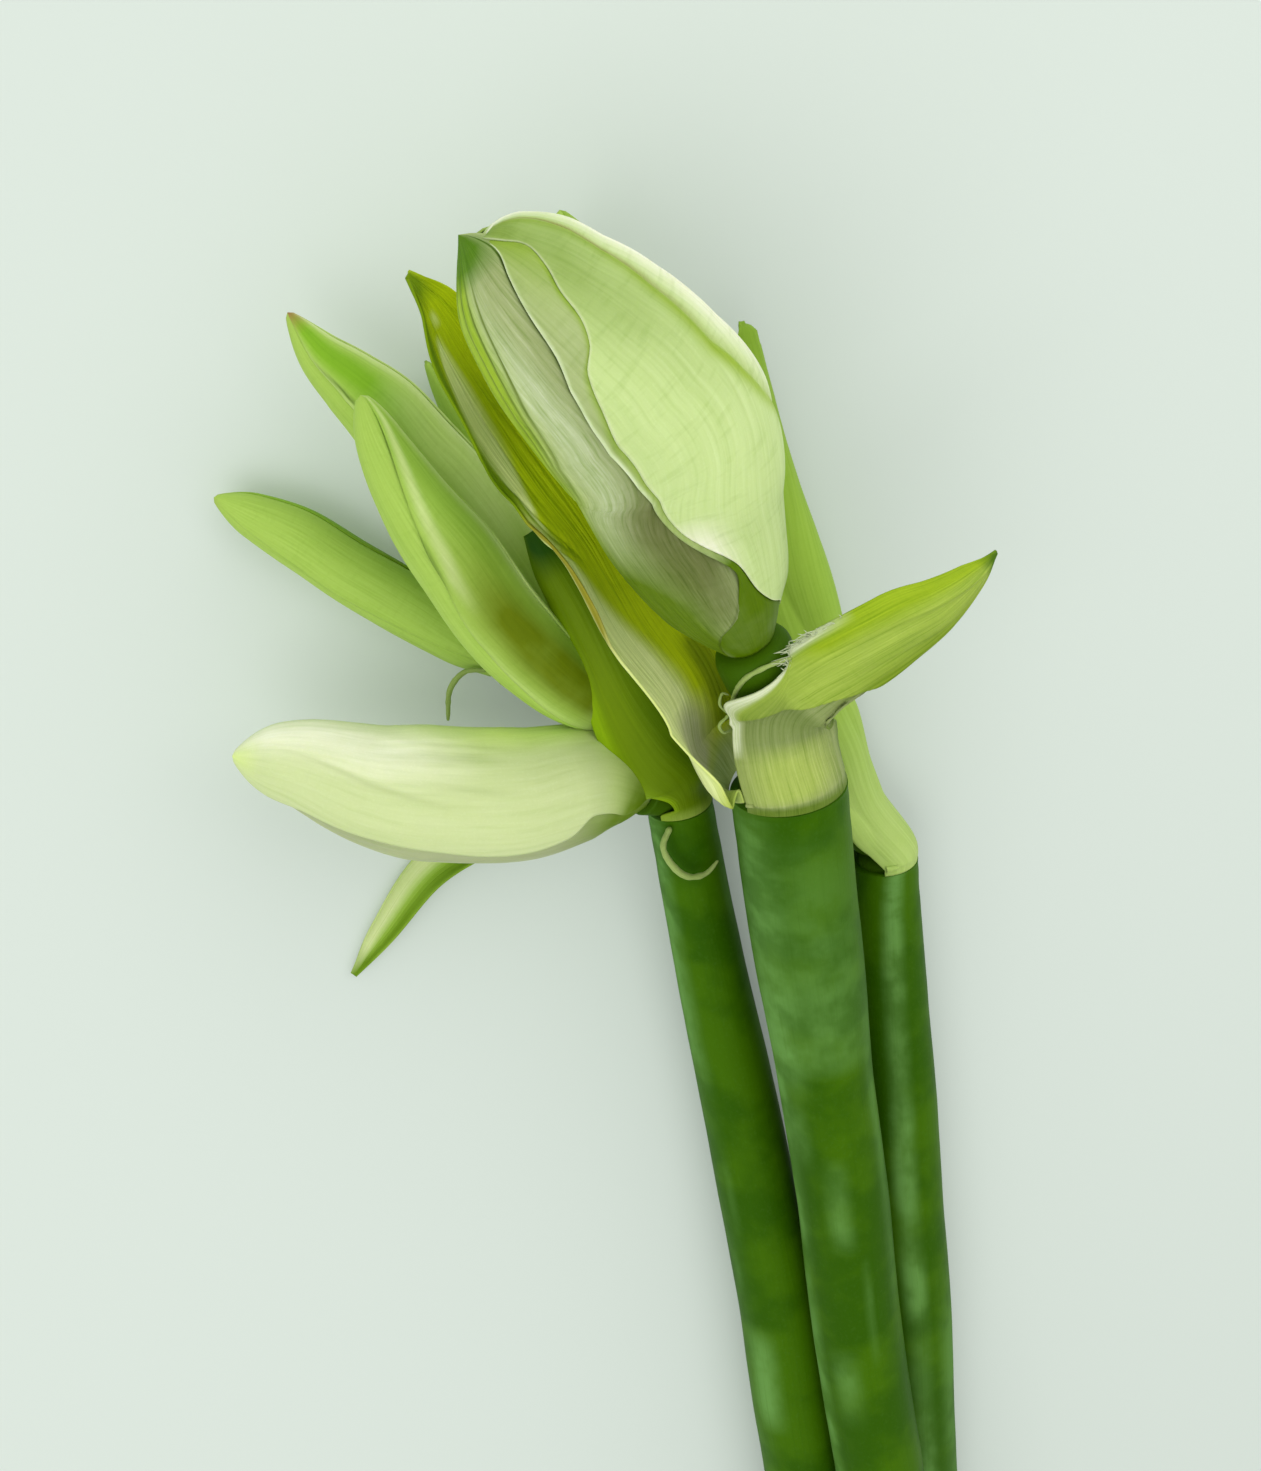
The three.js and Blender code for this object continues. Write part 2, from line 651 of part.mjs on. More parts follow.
const { bud_main, bud_back, bud_low, bud_front, bud_sheathed } = limbs;
addNode('bract_middle_left', bractGeometry(middleLeftBract, [bud_main, mainStalk]), 'bract');
addNode('bract_middle_right', bractGeometry(middleRightBract, [mainStalk]), 'bract');
addNode(
  'bract_left_front',
  bractGeometry(leftFrontBract, [bud_low, bud_front, lowStalk, frontStalk]),
  'bract',
);
addNode('bract_left_back', bractGeometry(leftBackBract, [lowStalk, slimStalk]), 'bract');
addNode(
  'bract_right_front',
  bractGeometry(rightFrontBract, [bud_sheathed, sheathedStalk, backStalk]),
  'bract',
);
addNode(
  'bract_right_back',
  bractGeometry(rightBackBract, [bud_sheathed, sheathedStalk, backStalk]),
  'bract',
);

for (const [name, thread] of Object.entries(threads)) {
  addNode(name, limbGeometry(new Limb(thread), thread.rows, 6), 'thread');
}

export default bunch;
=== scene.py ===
"""Looks of three cut amaryllis stems in bud, which lie together as one bunch.

Plant lengths are in millimetres and angles in degrees, as they would be measured on the
bunch. A mesh turns them into metres when its points are placed. Colours are web colours.
"""

import logging
import math
import random
from dataclasses import dataclass, field
from enum import Enum
from functools import lru_cache, partial
from typing import Callable

import bmesh
import bpy
from mathutils import Matrix, Vector, kdtree, noise


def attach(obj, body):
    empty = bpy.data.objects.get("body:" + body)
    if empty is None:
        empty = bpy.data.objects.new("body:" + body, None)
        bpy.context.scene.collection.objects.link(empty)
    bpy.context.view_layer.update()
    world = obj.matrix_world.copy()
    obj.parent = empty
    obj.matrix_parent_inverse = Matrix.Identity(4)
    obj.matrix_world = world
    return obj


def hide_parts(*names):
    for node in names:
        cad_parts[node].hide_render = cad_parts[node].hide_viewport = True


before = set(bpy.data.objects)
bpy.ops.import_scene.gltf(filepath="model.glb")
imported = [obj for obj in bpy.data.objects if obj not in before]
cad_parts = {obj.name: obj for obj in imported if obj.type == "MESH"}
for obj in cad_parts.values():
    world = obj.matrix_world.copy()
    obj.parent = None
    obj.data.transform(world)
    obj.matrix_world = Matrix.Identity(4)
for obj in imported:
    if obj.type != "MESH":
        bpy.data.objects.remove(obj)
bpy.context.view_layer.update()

log = logging.getLogger("bunch")

MM = 0.001
PHOTO_SIZE = (1261, 1471)
BODY = "root"

# Directions of the bunch: across it, up along the flowers, and out of its best side
ACROSS = Vector((0.978, 0.0, 0.208))
FACING = Vector((-0.195, 0.342, 0.919))
ALONG = Vector((0.071, 0.94, -0.334))

# Sheets and clearances in the solids' sizes, and how soon a tepal's edge rises and closes
BRACT_THICKNESS = 0.9
TOUCH_GAP = 0.35
DRAPE_GAP = 1.95
FREE_EDGE_RISE = 0.14
TIP_CLOSING = 0.1

# Where a bract stands on the rim of its scape: how far in, how high its second station is, and
# the share of its spread that it has at the rim
RIM_INSET = 0.1
RIM_CLIMB = 4.5
RIM_SPREAD = 0.25

Table = tuple[tuple[float, float], ...]
Amount = float | Table
Point = tuple[float, float, float]
Shade = bpy.types.NodeSocket | tuple[float, ...]


def slope_at(table: Table, k: int) -> float:
    """The slope of the smooth line through a table at one of its entries.

    Args:
        table: Pairs of a position and a value, in order.
        k: The number of the entry.

    Returns:
        The slope, which is level at a peak and at a dip.
    """
    rises = [
        (table[i + 1][1] - table[i][1]) / (table[i + 1][0] - table[i][0])
        for i in (k - 1, k)
        if 0 <= i < len(table) - 1
    ]
    if len(rises) == 1:
        return rises[0]
    before, after = rises
    return 0.0 if before * after <= 0 else 2 * before * after / (before + after)


def through(amount: Amount, x: float) -> float:
    """A smooth value at x through a table that it never overshoots.

    Args:
        amount: One value, or pairs of a position and a value, in order.
        x: The position that is asked for.

    Returns:
        The value at x. Past an end of the table it is that end's value.
    """
    if isinstance(amount, (int, float)):
        return float(amount)
    last = len(amount) - 1
    if x <= amount[0][0]:
        return amount[0][1]
    if x >= amount[last][0]:
        return amount[last][1]
    k = 0
    while x > amount[k + 1][0]:
        k += 1
    span = amount[k + 1][0] - amount[k][0]
    u = (x - amount[k][0]) / span
    keep = (1 + 2 * u) * (1 - u) ** 2
    bend = span * u * (1 - u) * ((1 - u) * slope_at(amount, k) - u * slope_at(amount, k + 1))
    return keep * amount[k][1] + (1 - keep) * amount[k + 1][1] + bend


def clamp(x: float) -> float:
    """x, kept between 0 and 1."""
    return min(1.0, max(0.0, x))


def smooth(x: float) -> float:
    """A soft step from 0 to 1 as x goes from 0 to 1."""
    x = clamp(x)
    return x * x * (3 - 2 * x)


def leaning(across: float, along: float, facing: float) -> Vector:
    """A direction of length 1 from its parts across, along and out of the bunch."""
    return (ACROSS * across + ALONG * along + FACING * facing).normalized()


def linear(web: str) -> tuple[float, float, float, float]:
    """A web colour such as "c8dc96" as the light that it sends back.

    Args:
        web: The colour, as six hexadecimal digits.

    Returns:
        Its red, green, blue and alpha.
    """
    parts = [int(web[k : k + 2], 16) / 255 for k in (0, 2, 4)]
    light = [c / 12.92 if c <= 0.04045 else ((c + 0.055) / 1.055) ** 2.4 for c in parts]
    return (*light, 1.0)


class SmoothCurve:
    """A centripetal curve through given points."""

    STEPS = 200
    NOTHING = 1e-4

    def __init__(self, points: list[Vector]) -> None:
        """Measures the curve.

        Args:
            points: The points that the curve goes through.
        """
        self.points = points
        self.lengths = [0.0]
        before = self.place(0.0)
        for k in range(1, self.STEPS + 1):
            here = self.place(k / self.STEPS)
            self.lengths.append(self.lengths[-1] + (here - before).length)
            before = here

    def place(self, s: float) -> Vector:
        """The point at s, from 0 to 1, where each stretch between two points counts alike.

        Args:
            s: The place along the curve.

        Returns:
            The point.
        """
        points = self.points
        last = len(points) - 1
        k = min(int(clamp(s) * last), last - 1)
        w = clamp(s) * last - k
        first = points[k - 1] if k > 0 else 2 * points[0] - points[1]
        start = points[k]
        end = points[k + 1]
        final = points[k + 2] if k + 2 <= last else 2 * points[last] - points[last - 1]
        run = [math.sqrt((b - a).length) for a, b in ((first, start), (start, end), (end, final))]
        run[1] = run[1] if run[1] > self.NOTHING else 1.0
        run = [span if span > self.NOTHING else run[1] for span in run]
        leave = (start - first) / run[0] - (end - first) / (run[0] + run[1])
        leave = (leave + (end - start) / run[1]) * run[1]
        reach = (end - start) / run[1] - (final - start) / (run[1] + run[2])
        reach = (reach + (final - end) / run[2]) * run[1]
        cubic = 2 * start - 2 * end + leave + reach
        square = 3 * end - 3 * start - 2 * leave - reach
        return start + leave * w + square * w**2 + cubic * w**3

    def tangent(self, s: float) -> Vector:
        """The direction of the curve at s."""
        start = self.place(max(0.0, s - self.NOTHING))
        return (self.place(min(1.0, s + self.NOTHING)) - start).normalized()

    def by_length(self, t: float) -> float:
        """The s that lies at t, from 0 to 1, of the curve's length.

        Args:
            t: The share of the length.

        Returns:
            The place along the curve, as place() takes it.
        """
        wanted = clamp(t) * self.lengths[-1]
        low, high = 0, self.STEPS
        while high - low > 1:
            middle = (low + high) // 2
            if self.lengths[middle] <= wanted:
                low = middle
            else:
                high = middle
        share = (wanted - self.lengths[low]) / (self.lengths[high] - self.lengths[low])
        return (low + share) / self.STEPS


@dataclass(frozen=True)
class Ring:
    """A place along a limb: its middle and the directions along, out and to the right."""

    at: Vector
    along: Vector
    face: Vector
    side: Vector


@dataclass
class Limb:
    """Anything round that follows a curve: a scape, a stalk, a bud or a thread."""

    axis: list[Point]
    girth: Amount
    depth: float = 1.0
    curve: SmoothCurve = field(init=False)
    tree: kdtree.KDTree = field(init=False)

    SAMPLES = 120

    def __post_init__(self) -> None:
        """Lays the curve and the sample points that neighbours are measured from."""
        self.curve = SmoothCurve([Vector(point) for point in self.axis])
        self.ring = lru_cache(maxsize=None)(self._ring)
        self.tree = kdtree.KDTree(self.SAMPLES + 1)
        for k in range(self.SAMPLES + 1):
            self.tree.insert(self.ring(k / self.SAMPLES).at, k)
        self.tree.balance()
        self.girths = [through(self.girth, k / self.SAMPLES) for k in range(self.SAMPLES + 1)]
        self.spacing = self.curve.lengths[-1] / self.SAMPLES

    def _ring(self, t: float) -> Ring:
        """The place at t, from 0 to 1, of the limb's length.

        Args:
            t: The share of the length.

        Returns:
            The place and its directions.
        """
        s = self.curve.by_length(t)
        along = self.curve.tangent(s)
        face = (FACING - along * FACING.dot(along)).normalized()
        return Ring(self.curve.place(s), along, face, along.cross(face))

    def point(self, t: float, degrees: float, radius: float) -> Vector:
        """A point round the limb: 0 degrees faces out, and 90 is on its right.

        Args:
            t: The share of the length.
            degrees: The angle round the limb.
            radius: How far from its axis.

        Returns:
            The point in millimetres.
        """
        ring = self.ring(t)
        angle = math.radians(degrees)
        out = ring.face * (math.cos(angle) * radius * self.depth)
        return ring.at + out + ring.side * (math.sin(angle) * radius)

    def push_out(self, point: Vector, clearance: float) -> Vector:
        """The point, moved out of the limb where it has less than this clearance.

        Args:
            point: The point.
            clearance: The least distance from the limb's skin.

        Returns:
            The same point, or one straight out from the axis.
        """
        middle, k, distance = self.tree.find(point)
        keep = self.girths[k] + clearance
        if distance >= keep + self.spacing:
            return point
        if 0 < k < self.SAMPLES:
            along = self.ring(k / self.SAMPLES).along
            drift = (point - middle).dot(along)
            middle = middle + along * drift
            beside = k + 1 if drift > 0 else k - 1
            keep += (self.girths[beside] - self.girths[k]) * min(1.0, abs(drift) / self.spacing)
            distance = (point - middle).length
        if distance >= keep:
            return point
        return middle + (point - middle).normalized() * keep


@dataclass(frozen=True)
class Patch:
    """A soft stretch of colour or relief along a sheet.

    Its middle and half width are places across the sheet, and they and its strength may
    change along it.
    """

    middle: Amount
    half: Amount
    strength: Amount = 1.0
    rows: dict[float, list[float]] = field(default_factory=dict, compare=False, repr=False)

    def at(self, across: float, along: float) -> float:
        """How strong the patch is at a place on the sheet.

        Args:
            across: The place across the sheet.
            along: The place along it.

        Returns:
            The strength, or the height in millimetres where the patch is relief.
        """
        row = self.rows.get(along)
        if row is None:
            row = [through(amount, along) for amount in (self.middle, self.half, self.strength)]
            self.rows[along] = row
        middle, half, strength = row
        return strength * smooth(1.0 - abs(across - middle) / half) if strength else 0.0


@dataclass(frozen=True)
class Ribs:
    """Long ribs over a sheet, which wander and fade a little as they run."""

    depth: float
    count: float
    wander: float = 1.0
    seed: float = 0.0

    # How many waves the drift, the ribs and their swelling make, and how far apart their seeds are
    DRIFT_WAVES = (3.0, 4.0)
    RIB_WAVES = 2.2
    RIB_SEED = 9.0
    SWELL_WAVES = 5.0
    SWELL_SEED = 5.0
    SWELL = (0.7, 0.6)
    SHARPNESS = 3.0

    def at(self, across: float, along: float) -> float:
        """The height of the ribs at a place on the sheet.

        Args:
            across: The place across the sheet.
            along: The place along it.

        Returns:
            The height in millimetres.
        """
        drift_place = (across * self.DRIFT_WAVES[0], along * self.DRIFT_WAVES[1], self.seed)
        drift = noise.noise(Vector(drift_place)) * self.wander
        rib_place = (across * self.count + drift, along * self.RIB_WAVES, self.seed + self.RIB_SEED)
        wave = noise.noise(Vector(rib_place))
        swell_place = (across * self.SWELL_WAVES, along * self.SWELL_WAVES, self.seed + self.SWELL_SEED)
        swell = self.SWELL[0] + self.SWELL[1] * noise.noise(Vector(swell_place))
        return self.depth * swell * (1.0 - self.SHARPNESS * abs(wave))


@dataclass(frozen=True)
class Step:
    """A step that begins along a line across the sheet, and may fade out beyond it."""

    line: Amount
    width: float
    strength: float = 1.0
    reach: float = 0.0

    def at(self, across: float, along: float) -> float:
        """How high the step is at a place on the sheet.

        Args:
            across: The place across the sheet.
            along: The place along it.

        Returns:
            The height, from 0 before the line to the strength beyond it.
        """
        past = along - through(self.line, across)
        fade = 1.0 - smooth(past / self.reach) if self.reach else 1.0
        return self.strength * smooth(past / self.width) * fade


Patches = tuple[Patch | Step, ...]
Marks = dict[str, Patches]


def total(patches: Patches, across: float, along: float) -> float:
    """The strength of several patches together at one place."""
    return sum(patch.at(across, along) for patch in patches)


class Slot(Enum):
    """The material slots of the record."""

    SCAPE = "scape"
    PALE_BUD = "pale_bud"
    GREEN_BUD = "green_bud"
    BRACT = "bract"
    THREAD = "thread"


@dataclass(frozen=True)
class Wire:
    """A number that varies over a surface, and takes part in sums as a number does."""

    book: "NodeBook"
    socket: bpy.types.NodeSocket

    def __add__(self, other: "Wire | float") -> "Wire":
        """The sum."""
        return self.book.math("ADD", self, other)

    __radd__ = __add__

    def __mul__(self, other: "Wire | float") -> "Wire":
        """The product."""
        return self.book.math("MULTIPLY", self, other)

    __rmul__ = __mul__

    def __sub__(self, other: "Wire | float") -> "Wire":
        """The difference."""
        return self.book.math("SUBTRACT", self, other)

    def __rsub__(self, other: "Wire | float") -> "Wire":
        """The difference the other way round."""
        return self.book.math("SUBTRACT", other, self)


class NodeBook:
    """One material and its nodes."""

    COLOUR_MIX = {"factor": 0, "first": 6, "second": 7, "result": 2}
    NOISE_ROUGHNESS = 0.55

    def __init__(self, name: str) -> None:
        """Starts an empty material.

        Args:
            name: The material's name.
        """
        self.material = bpy.data.materials.new(name)
        self.material.use_nodes = True
        self.tree = self.material.node_tree
        self.tree.nodes.clear()

    def add(
        self, kind: str, settings: dict | None = None, sockets: dict | None = None
    ) -> bpy.types.Node:
        """Adds any node.

        Args:
            kind: The node's type.
            settings: Its settings, set before its sockets.
            sockets: A value, wire or socket for each input that is used.

        Returns:
            The new node.
        """
        node = self.tree.nodes.new(kind)
        for key, value in (settings or {}).items():
            setattr(node, key, value)
        for key, value in (sockets or {}).items():
            if isinstance(value, Wire):
                self.tree.links.new(value.socket, node.inputs[key])
            elif isinstance(value, bpy.types.NodeSocket):
                self.tree.links.new(value, node.inputs[key])
            else:
                node.inputs[key].default_value = value
        return node

    def math(self, operation: str, first: Wire | float, second: Wire | float) -> Wire:
        """The result of a Math node on two values."""
        node = self.add("ShaderNodeMath", {"operation": operation}, {0: first, 1: second})
        return Wire(self, node.outputs[0])

    def mark(self, name: str) -> Wire:
        """The mark of that name, which the mesh carries."""
        node = self.add("ShaderNodeAttribute", {"attribute_name": name})
        return Wire(self, node.outputs["Fac"])

    def step(self, value: Wire, low: float, high: float) -> Wire:
        """A soft step from 0 to 1 as the value goes from low to high.

        Args:
            value: The value.
            low: Where the step starts.
            high: Where it ends.

        Returns:
            The height of the step.
        """
        settings = {"interpolation_type": "SMOOTHSTEP"}
        sockets = {"Value": value, "From Min": low, "From Max": high}
        return Wire(self, self.add("ShaderNodeMapRange", settings, sockets).outputs["Result"])

    def noise(self, where: bpy.types.NodeSocket, scale: float, detail: float = 2.0) -> Wire:
        """Cloudy noise from 0 to 1 at a place."""
        sockets = {"Vector": where, "Scale": scale, "Detail": detail, "Roughness": self.NOISE_ROUGHNESS}
        return Wire(self, self.add("ShaderNodeTexNoise", {}, sockets).outputs[0])

    def object_place(self) -> bpy.types.NodeSocket:
        """The place on the object, in metres."""
        return self.add("ShaderNodeTexCoord").outputs["Object"]

    def sheet_place(self, across: float, along: float) -> bpy.types.NodeSocket:
        """The place on the sheet, with that many units across and along it.

        Args:
            across: The units across the sheet.
            along: The units along it.

        Returns:
            The socket of the place.
        """
        uv = self.add("ShaderNodeUVMap", {"uv_map": Patchwork.CHART}).outputs[0]
        sockets = {"Vector": uv, "Scale": (across, along, 1.0)}
        return self.add("ShaderNodeMapping", {"vector_type": "POINT"}, sockets).outputs[0]

    def mix(
        self, factor: Wire | float, first: Shade, second: Shade, blend: str = "MIX"
    ) -> bpy.types.NodeSocket:
        """A blend of two colours.

        Args:
            factor: 0 for the first colour, 1 for the second.
            first: A colour or a colour socket.
            second: A colour or a colour socket.
            blend: How the second colour acts on the first.

        Returns:
            The socket of the blended colour.
        """
        mix = self.COLOUR_MIX
        settings = {"data_type": "RGBA", "blend_type": blend, "clamp_factor": True}
        sockets = {mix["factor"]: factor, mix["first"]: first, mix["second"]: second}
        return self.add("ShaderNodeMix", settings, sockets).outputs[mix["result"]]

    def tint(self, factor: Wire | float, colour: Shade, by: Shade) -> bpy.types.NodeSocket:
        """A colour that is multiplied by another as far as the factor says."""
        return self.mix(factor, colour, by, "MULTIPLY")

    def bump(self, height: Wire, depth: float, strength: float) -> bpy.types.NodeSocket:
        """The bent normal of a surface with that height, in metres."""
        sockets = {"Height": height, "Distance": depth, "Strength": strength}
        return self.add("ShaderNodeBump", {}, sockets).outputs[0]

    def finish(self, shader: dict) -> bpy.types.Material:
        """Ends the material with one shader.

        Args:
            shader: The values and links of the shader's sockets.

        Returns:
            The material.
        """
        node = self.add("ShaderNodeBsdfPrincipled", {}, shader)
        self.add("ShaderNodeOutputMaterial", {}, {"Surface": node.outputs[0]})
        return self.material


@dataclass(frozen=True)
class SheetFinish:
    """The finish of a tepal or bract: a ground colour, soft marks, long veins and a soft glow."""

    name: str
    ground: str
    marks: tuple[tuple[str, str], ...]
    veins: float = 70.0
    vein_run: float = 5.0
    vein_strength: float = 0.6
    cross_strength: float = 0.2
    streaks: float = 0.0
    roughness: float = 0.5
    relief: float = 0.00025
    glow: float = 0.1

    DARK_VEIN = (0.55, 0.66, 0.36, 1.0)
    PALE_VEIN = (1.28, 1.22, 1.5, 1.0)

    # Each pattern's share of the veins across the sheet and its run along it, or its scale
    BROAD = (0.3, 2.5)
    DASHES = (0.6, 16.0)
    CROSS = (5.0, 60.0)
    CLOUD = 70.0
    GRAIN = 1500.0

    # Where each pattern turns dark or pale, and how much it adds
    FINE_DARK = (0.5, 0.7)
    BROAD_DARK = (0.5, 0.72)
    FINE_PALE = (0.5, 0.32)
    BROAD_PALE = (0.5, 0.3)
    DASH_PALE = (0.56, 0.72)
    GRAIN_PALE = (0.5, 0.75)
    GRAIN_SHARE = 0.12
    MARK_SPREAD = (0.7, 0.6)

    SHINE = 0.07
    GLOW_RADIUS = (0.7, 1.0, 0.25)
    GLOW_DEPTH = 0.0025
    BUMP = 0.55

    def material(self) -> bpy.types.Material:
        """Makes the material.

        Returns:
            The material of the sheet.
        """
        book = NodeBook(self.name)
        fine = book.noise(book.sheet_place(self.veins, self.vein_run), 1.0, 3.0)
        broad = book.noise(book.sheet_place(self.veins * self.BROAD[0], self.BROAD[1]), 1.0)
        cross = book.noise(book.sheet_place(*self.CROSS), 1.0)
        dashes = book.noise(book.sheet_place(self.veins * self.DASHES[0], self.DASHES[1]), 1.0)
        cloud = book.noise(book.object_place(), self.CLOUD, 3.0)
        grain = book.noise(book.object_place(), self.GRAIN)
        colour = linear(self.ground)
        for mark, web in self.marks:
            spread = book.mark(mark) * (self.MARK_SPREAD[0] + self.MARK_SPREAD[1] * cloud)
            colour = book.mix(spread, colour, linear(web))
        dark = book.step(fine, *self.FINE_DARK) * 0.6 + book.step(broad, *self.BROAD_DARK) * 0.4
        dark = dark * self.vein_strength + book.step(cross, *self.BROAD_DARK) * self.cross_strength
        pale = book.step(fine, *self.FINE_PALE) * 0.6 + book.step(broad, *self.BROAD_PALE) * 0.5
        pale = pale * self.vein_strength + book.step(dashes, *self.DASH_PALE) * self.streaks
        pale = pale + book.step(grain, *self.GRAIN_PALE) * self.GRAIN_SHARE
        colour = book.tint(dark, colour, self.DARK_VEIN)
        colour = book.tint(pale, colour, self.PALE_VEIN)
        height = fine * 0.5 + broad * 0.6 + cross * self.cross_strength + dashes * self.streaks
        height = height + grain * self.GRAIN_SHARE
        return book.finish(
            {
                "Base Color": colour,
                "Roughness": self.roughness + 0.2 * (fine - 0.5),
                "Specular IOR Level": self.SHINE,
                "Subsurface Weight": self.glow,
                "Subsurface Radius": self.GLOW_RADIUS,
                "Subsurface Scale": self.GLOW_DEPTH,
                "Normal": book.bump(height, self.relief, self.BUMP),
            }
        )


@dataclass(frozen=True)
class ScapeFinish:
    """Smooth waxy green skin with a pale blue-green bloom that is rubbed off in places, and a painted sky
    reflection in the same pale colour along the scapes' edges.
    """

    name: str = "scape_skin"
    ground: str = "3f6801"
    deep: str = "2f5800"
    bloom_and_painted_sheen: str = "669449"
    young: str = "3c5e06"
    cut: str = "b9cf8f"

    # Units across and along the scape, and to a metre of the object
    STREAKS = (90.0, 5.0)
    BANDS = (7.0, 26.0)
    CLOUD = 38.0
    GRAIN = 900.0

    # Where each pattern begins and where it is full
    CLOUD_GROUND = (0.4, 0.62)
    RUBBED_OFF = (0.46, 0.66)
    STREAK_DEEP = (0.5, 0.7)
    GRAIN_PALE = (0.5, 0.75)

    SHINE = 0.04
    GLOW = 0.05
    GLOW_RADIUS = (0.5, 1.0, 0.2)
    GLOW_DEPTH = 0.002
    RELIEF = 0.00015
    BUMP = 0.5

    def material(self) -> bpy.types.Material:
        """Makes the material.

        Returns:
            The material of the scapes and their stalks.
        """
        book = NodeBook(self.name)
        streak = book.noise(book.sheet_place(*self.STREAKS), 1.0, 3.0)
        bands = book.noise(book.sheet_place(*self.BANDS), 1.0, 3.0)
        cloud = book.noise(book.object_place(), self.CLOUD, 3.0)
        grain = book.noise(book.object_place(), self.GRAIN, 3.0)
        colour = book.mix(book.step(cloud, *self.CLOUD_GROUND), linear(self.deep), linear(self.ground))
        rubbed = book.step(bands * 0.6 + cloud * 0.4 + streak * 0.12, *self.RUBBED_OFF)
        # This mark is real bloom in patches and on the far side, plus a painted sky reflection in long strips
        # along the scapes' edges
        spread = book.mark("bloom_and_painted_sheen") * (0.4 + 0.6 * rubbed)
        colour = book.mix(spread, colour, linear(self.bloom_and_painted_sheen))
        colour = book.mix(book.step(streak, *self.STREAK_DEEP) * 0.16, colour, linear(self.deep))
        colour = book.mix(book.step(grain, *self.GRAIN_PALE) * 0.06, colour, linear(self.bloom_and_painted_sheen))
        colour = book.mix(book.mark("young"), colour, linear(self.young))
        colour = book.mix(book.mark("cut"), colour, linear(self.cut))
        height = streak * 0.7 + grain * 0.3
        return book.finish(
            {
                "Base Color": colour,
                "Roughness": 0.45 + 0.25 * spread,
                "Specular IOR Level": self.SHINE,
                "Subsurface Weight": self.GLOW,
                "Subsurface Radius": self.GLOW_RADIUS,
                "Subsurface Scale": self.GLOW_DEPTH,
                "Normal": book.bump(height, self.RELIEF, self.BUMP),
            }
        )


@dataclass(frozen=True)
class FloorFinish:
    """Plain pale paper on a dim light table, which keeps the shadows soft."""

    name: str = "pale_floor"
    ground: str = "c4cdca"
    light: float = 0.2
    roughness: float = 0.9

    def material(self) -> bpy.types.Material:
        """Makes the material.

        Returns:
            The material of the floor.
        """
        book = NodeBook(self.name)
        colour = linear(self.ground)
        return book.finish(
            {
                "Base Color": colour,
                "Roughness": self.roughness,
                "Emission Color": colour,
                "Emission Strength": self.light,
            }
        )


Rule = Callable[[float, float], Vector]
Mark = Callable[[float, float], float]


@dataclass
class Patchwork:
    """A grid of points laid out by a rule, with the marks that its finish reads.

    The rule takes a place across and along the grid, both from 0 to 1.
    """

    rule: Rule
    columns: int
    rows: int
    marks: dict[str, Mark] = field(default_factory=dict)
    round_it: bool = False
    pattern: Mark | None = None

    WELD = 1e-6
    CHART = "surface"

    def add_to(self, shape: bmesh.types.BMesh) -> None:
        """Adds the grid to a shape, in metres, with its faces turned outwards.

        Args:
            shape: The shape that grows.
        """
        for mark in self.marks:
            if not shape.verts.layers.float.get(mark):
                shape.verts.layers.float.new(mark)
        layers = {mark: shape.verts.layers.float[mark] for mark in self.marks}
        charts = shape.loops.layers.uv
        chart = charts.get(self.CHART) or charts.new(self.CHART)
        made = bmesh.ops.create_grid(
            shape, x_segments=self.columns, y_segments=self.rows, size=0.5, calc_uvs=True
        )
        for vertex in made["verts"]:
            across = vertex.co.x + 0.5
            along = vertex.co.y + 0.5
            for mark, value in self.marks.items():
                vertex[layers[mark]] = clamp(value(across, along))
            if self.pattern:
                for loop in vertex.link_loops:
                    loop[chart].uv = (self.pattern(across, along), along)
            place = self.rule(across, along)
            vertex.co = Vector((place.x, place.y, max(0.0, place.z))) * MM
        if self.round_it:
            bmesh.ops.remove_doubles(shape, verts=shape.verts, dist=self.WELD)
            bmesh.ops.recalc_face_normals(shape, faces=shape.faces)


def mesh_of(name: str, patchworks: list[Patchwork]) -> bpy.types.Mesh:
    """Makes a mesh.

    Args:
        name: The mesh's name.
        patchworks: The grids that it holds.

    Returns:
        The new mesh.
    """
    shape = bmesh.new()
    for patchwork in patchworks:
        patchwork.add_to(shape)
    for face in shape.faces:
        face.smooth = True
    mesh = bpy.data.meshes.new(name)
    shape.to_mesh(mesh)
    shape.free()
    return mesh


def add_piece(
    name: str, mesh: bpy.types.Mesh, material: bpy.types.Material, node: str,
    thickness: float = 0.0
) -> bpy.types.Object:
    """Puts a piece in the scene in place of a solid.

    Args:
        name: The piece's name.
        mesh: Its mesh.
        material: Its finish.
        node: The solid that it stands for.
        thickness: How thick a sheet becomes, inwards, in millimetres.

    Returns:
        The new object.
    """
    piece = bpy.data.objects.new(name, mesh)
    bpy.context.scene.collection.objects.link(piece)
    mesh.materials.append(material)
    if thickness:
        solid = piece.modifiers.new("thickness", "SOLIDIFY")
        solid.thickness = thickness * MM
        solid.offset = -1.0
        solid.use_quality_normals = True
    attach(piece, BODY)
    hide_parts(node)
    log.info("piece %s, %d faces", name, len(mesh.polygons))
    return piece


@dataclass(frozen=True)
class Tepal:
    """One tepal of a bud, wrapped round it from its free edge to where it goes in under the next."""

    name: str
    seam: Table
    until: Table
    lift: tuple[float, float, float]
    finish: SheetFinish
    tip: tuple[float, float, float] = (0.0, 0.0, 0.0)
    tuck: float = 26.0
    rise: float = 0.0
    ribs: Ribs = Ribs(0.05, 30.0)
    relief: Patches = ()
    marks: Marks = field(default_factory=dict)
    frill: float = 0.0
    swell: Amount = 0.0
    closing: float = 0.93
    columns: int = 40


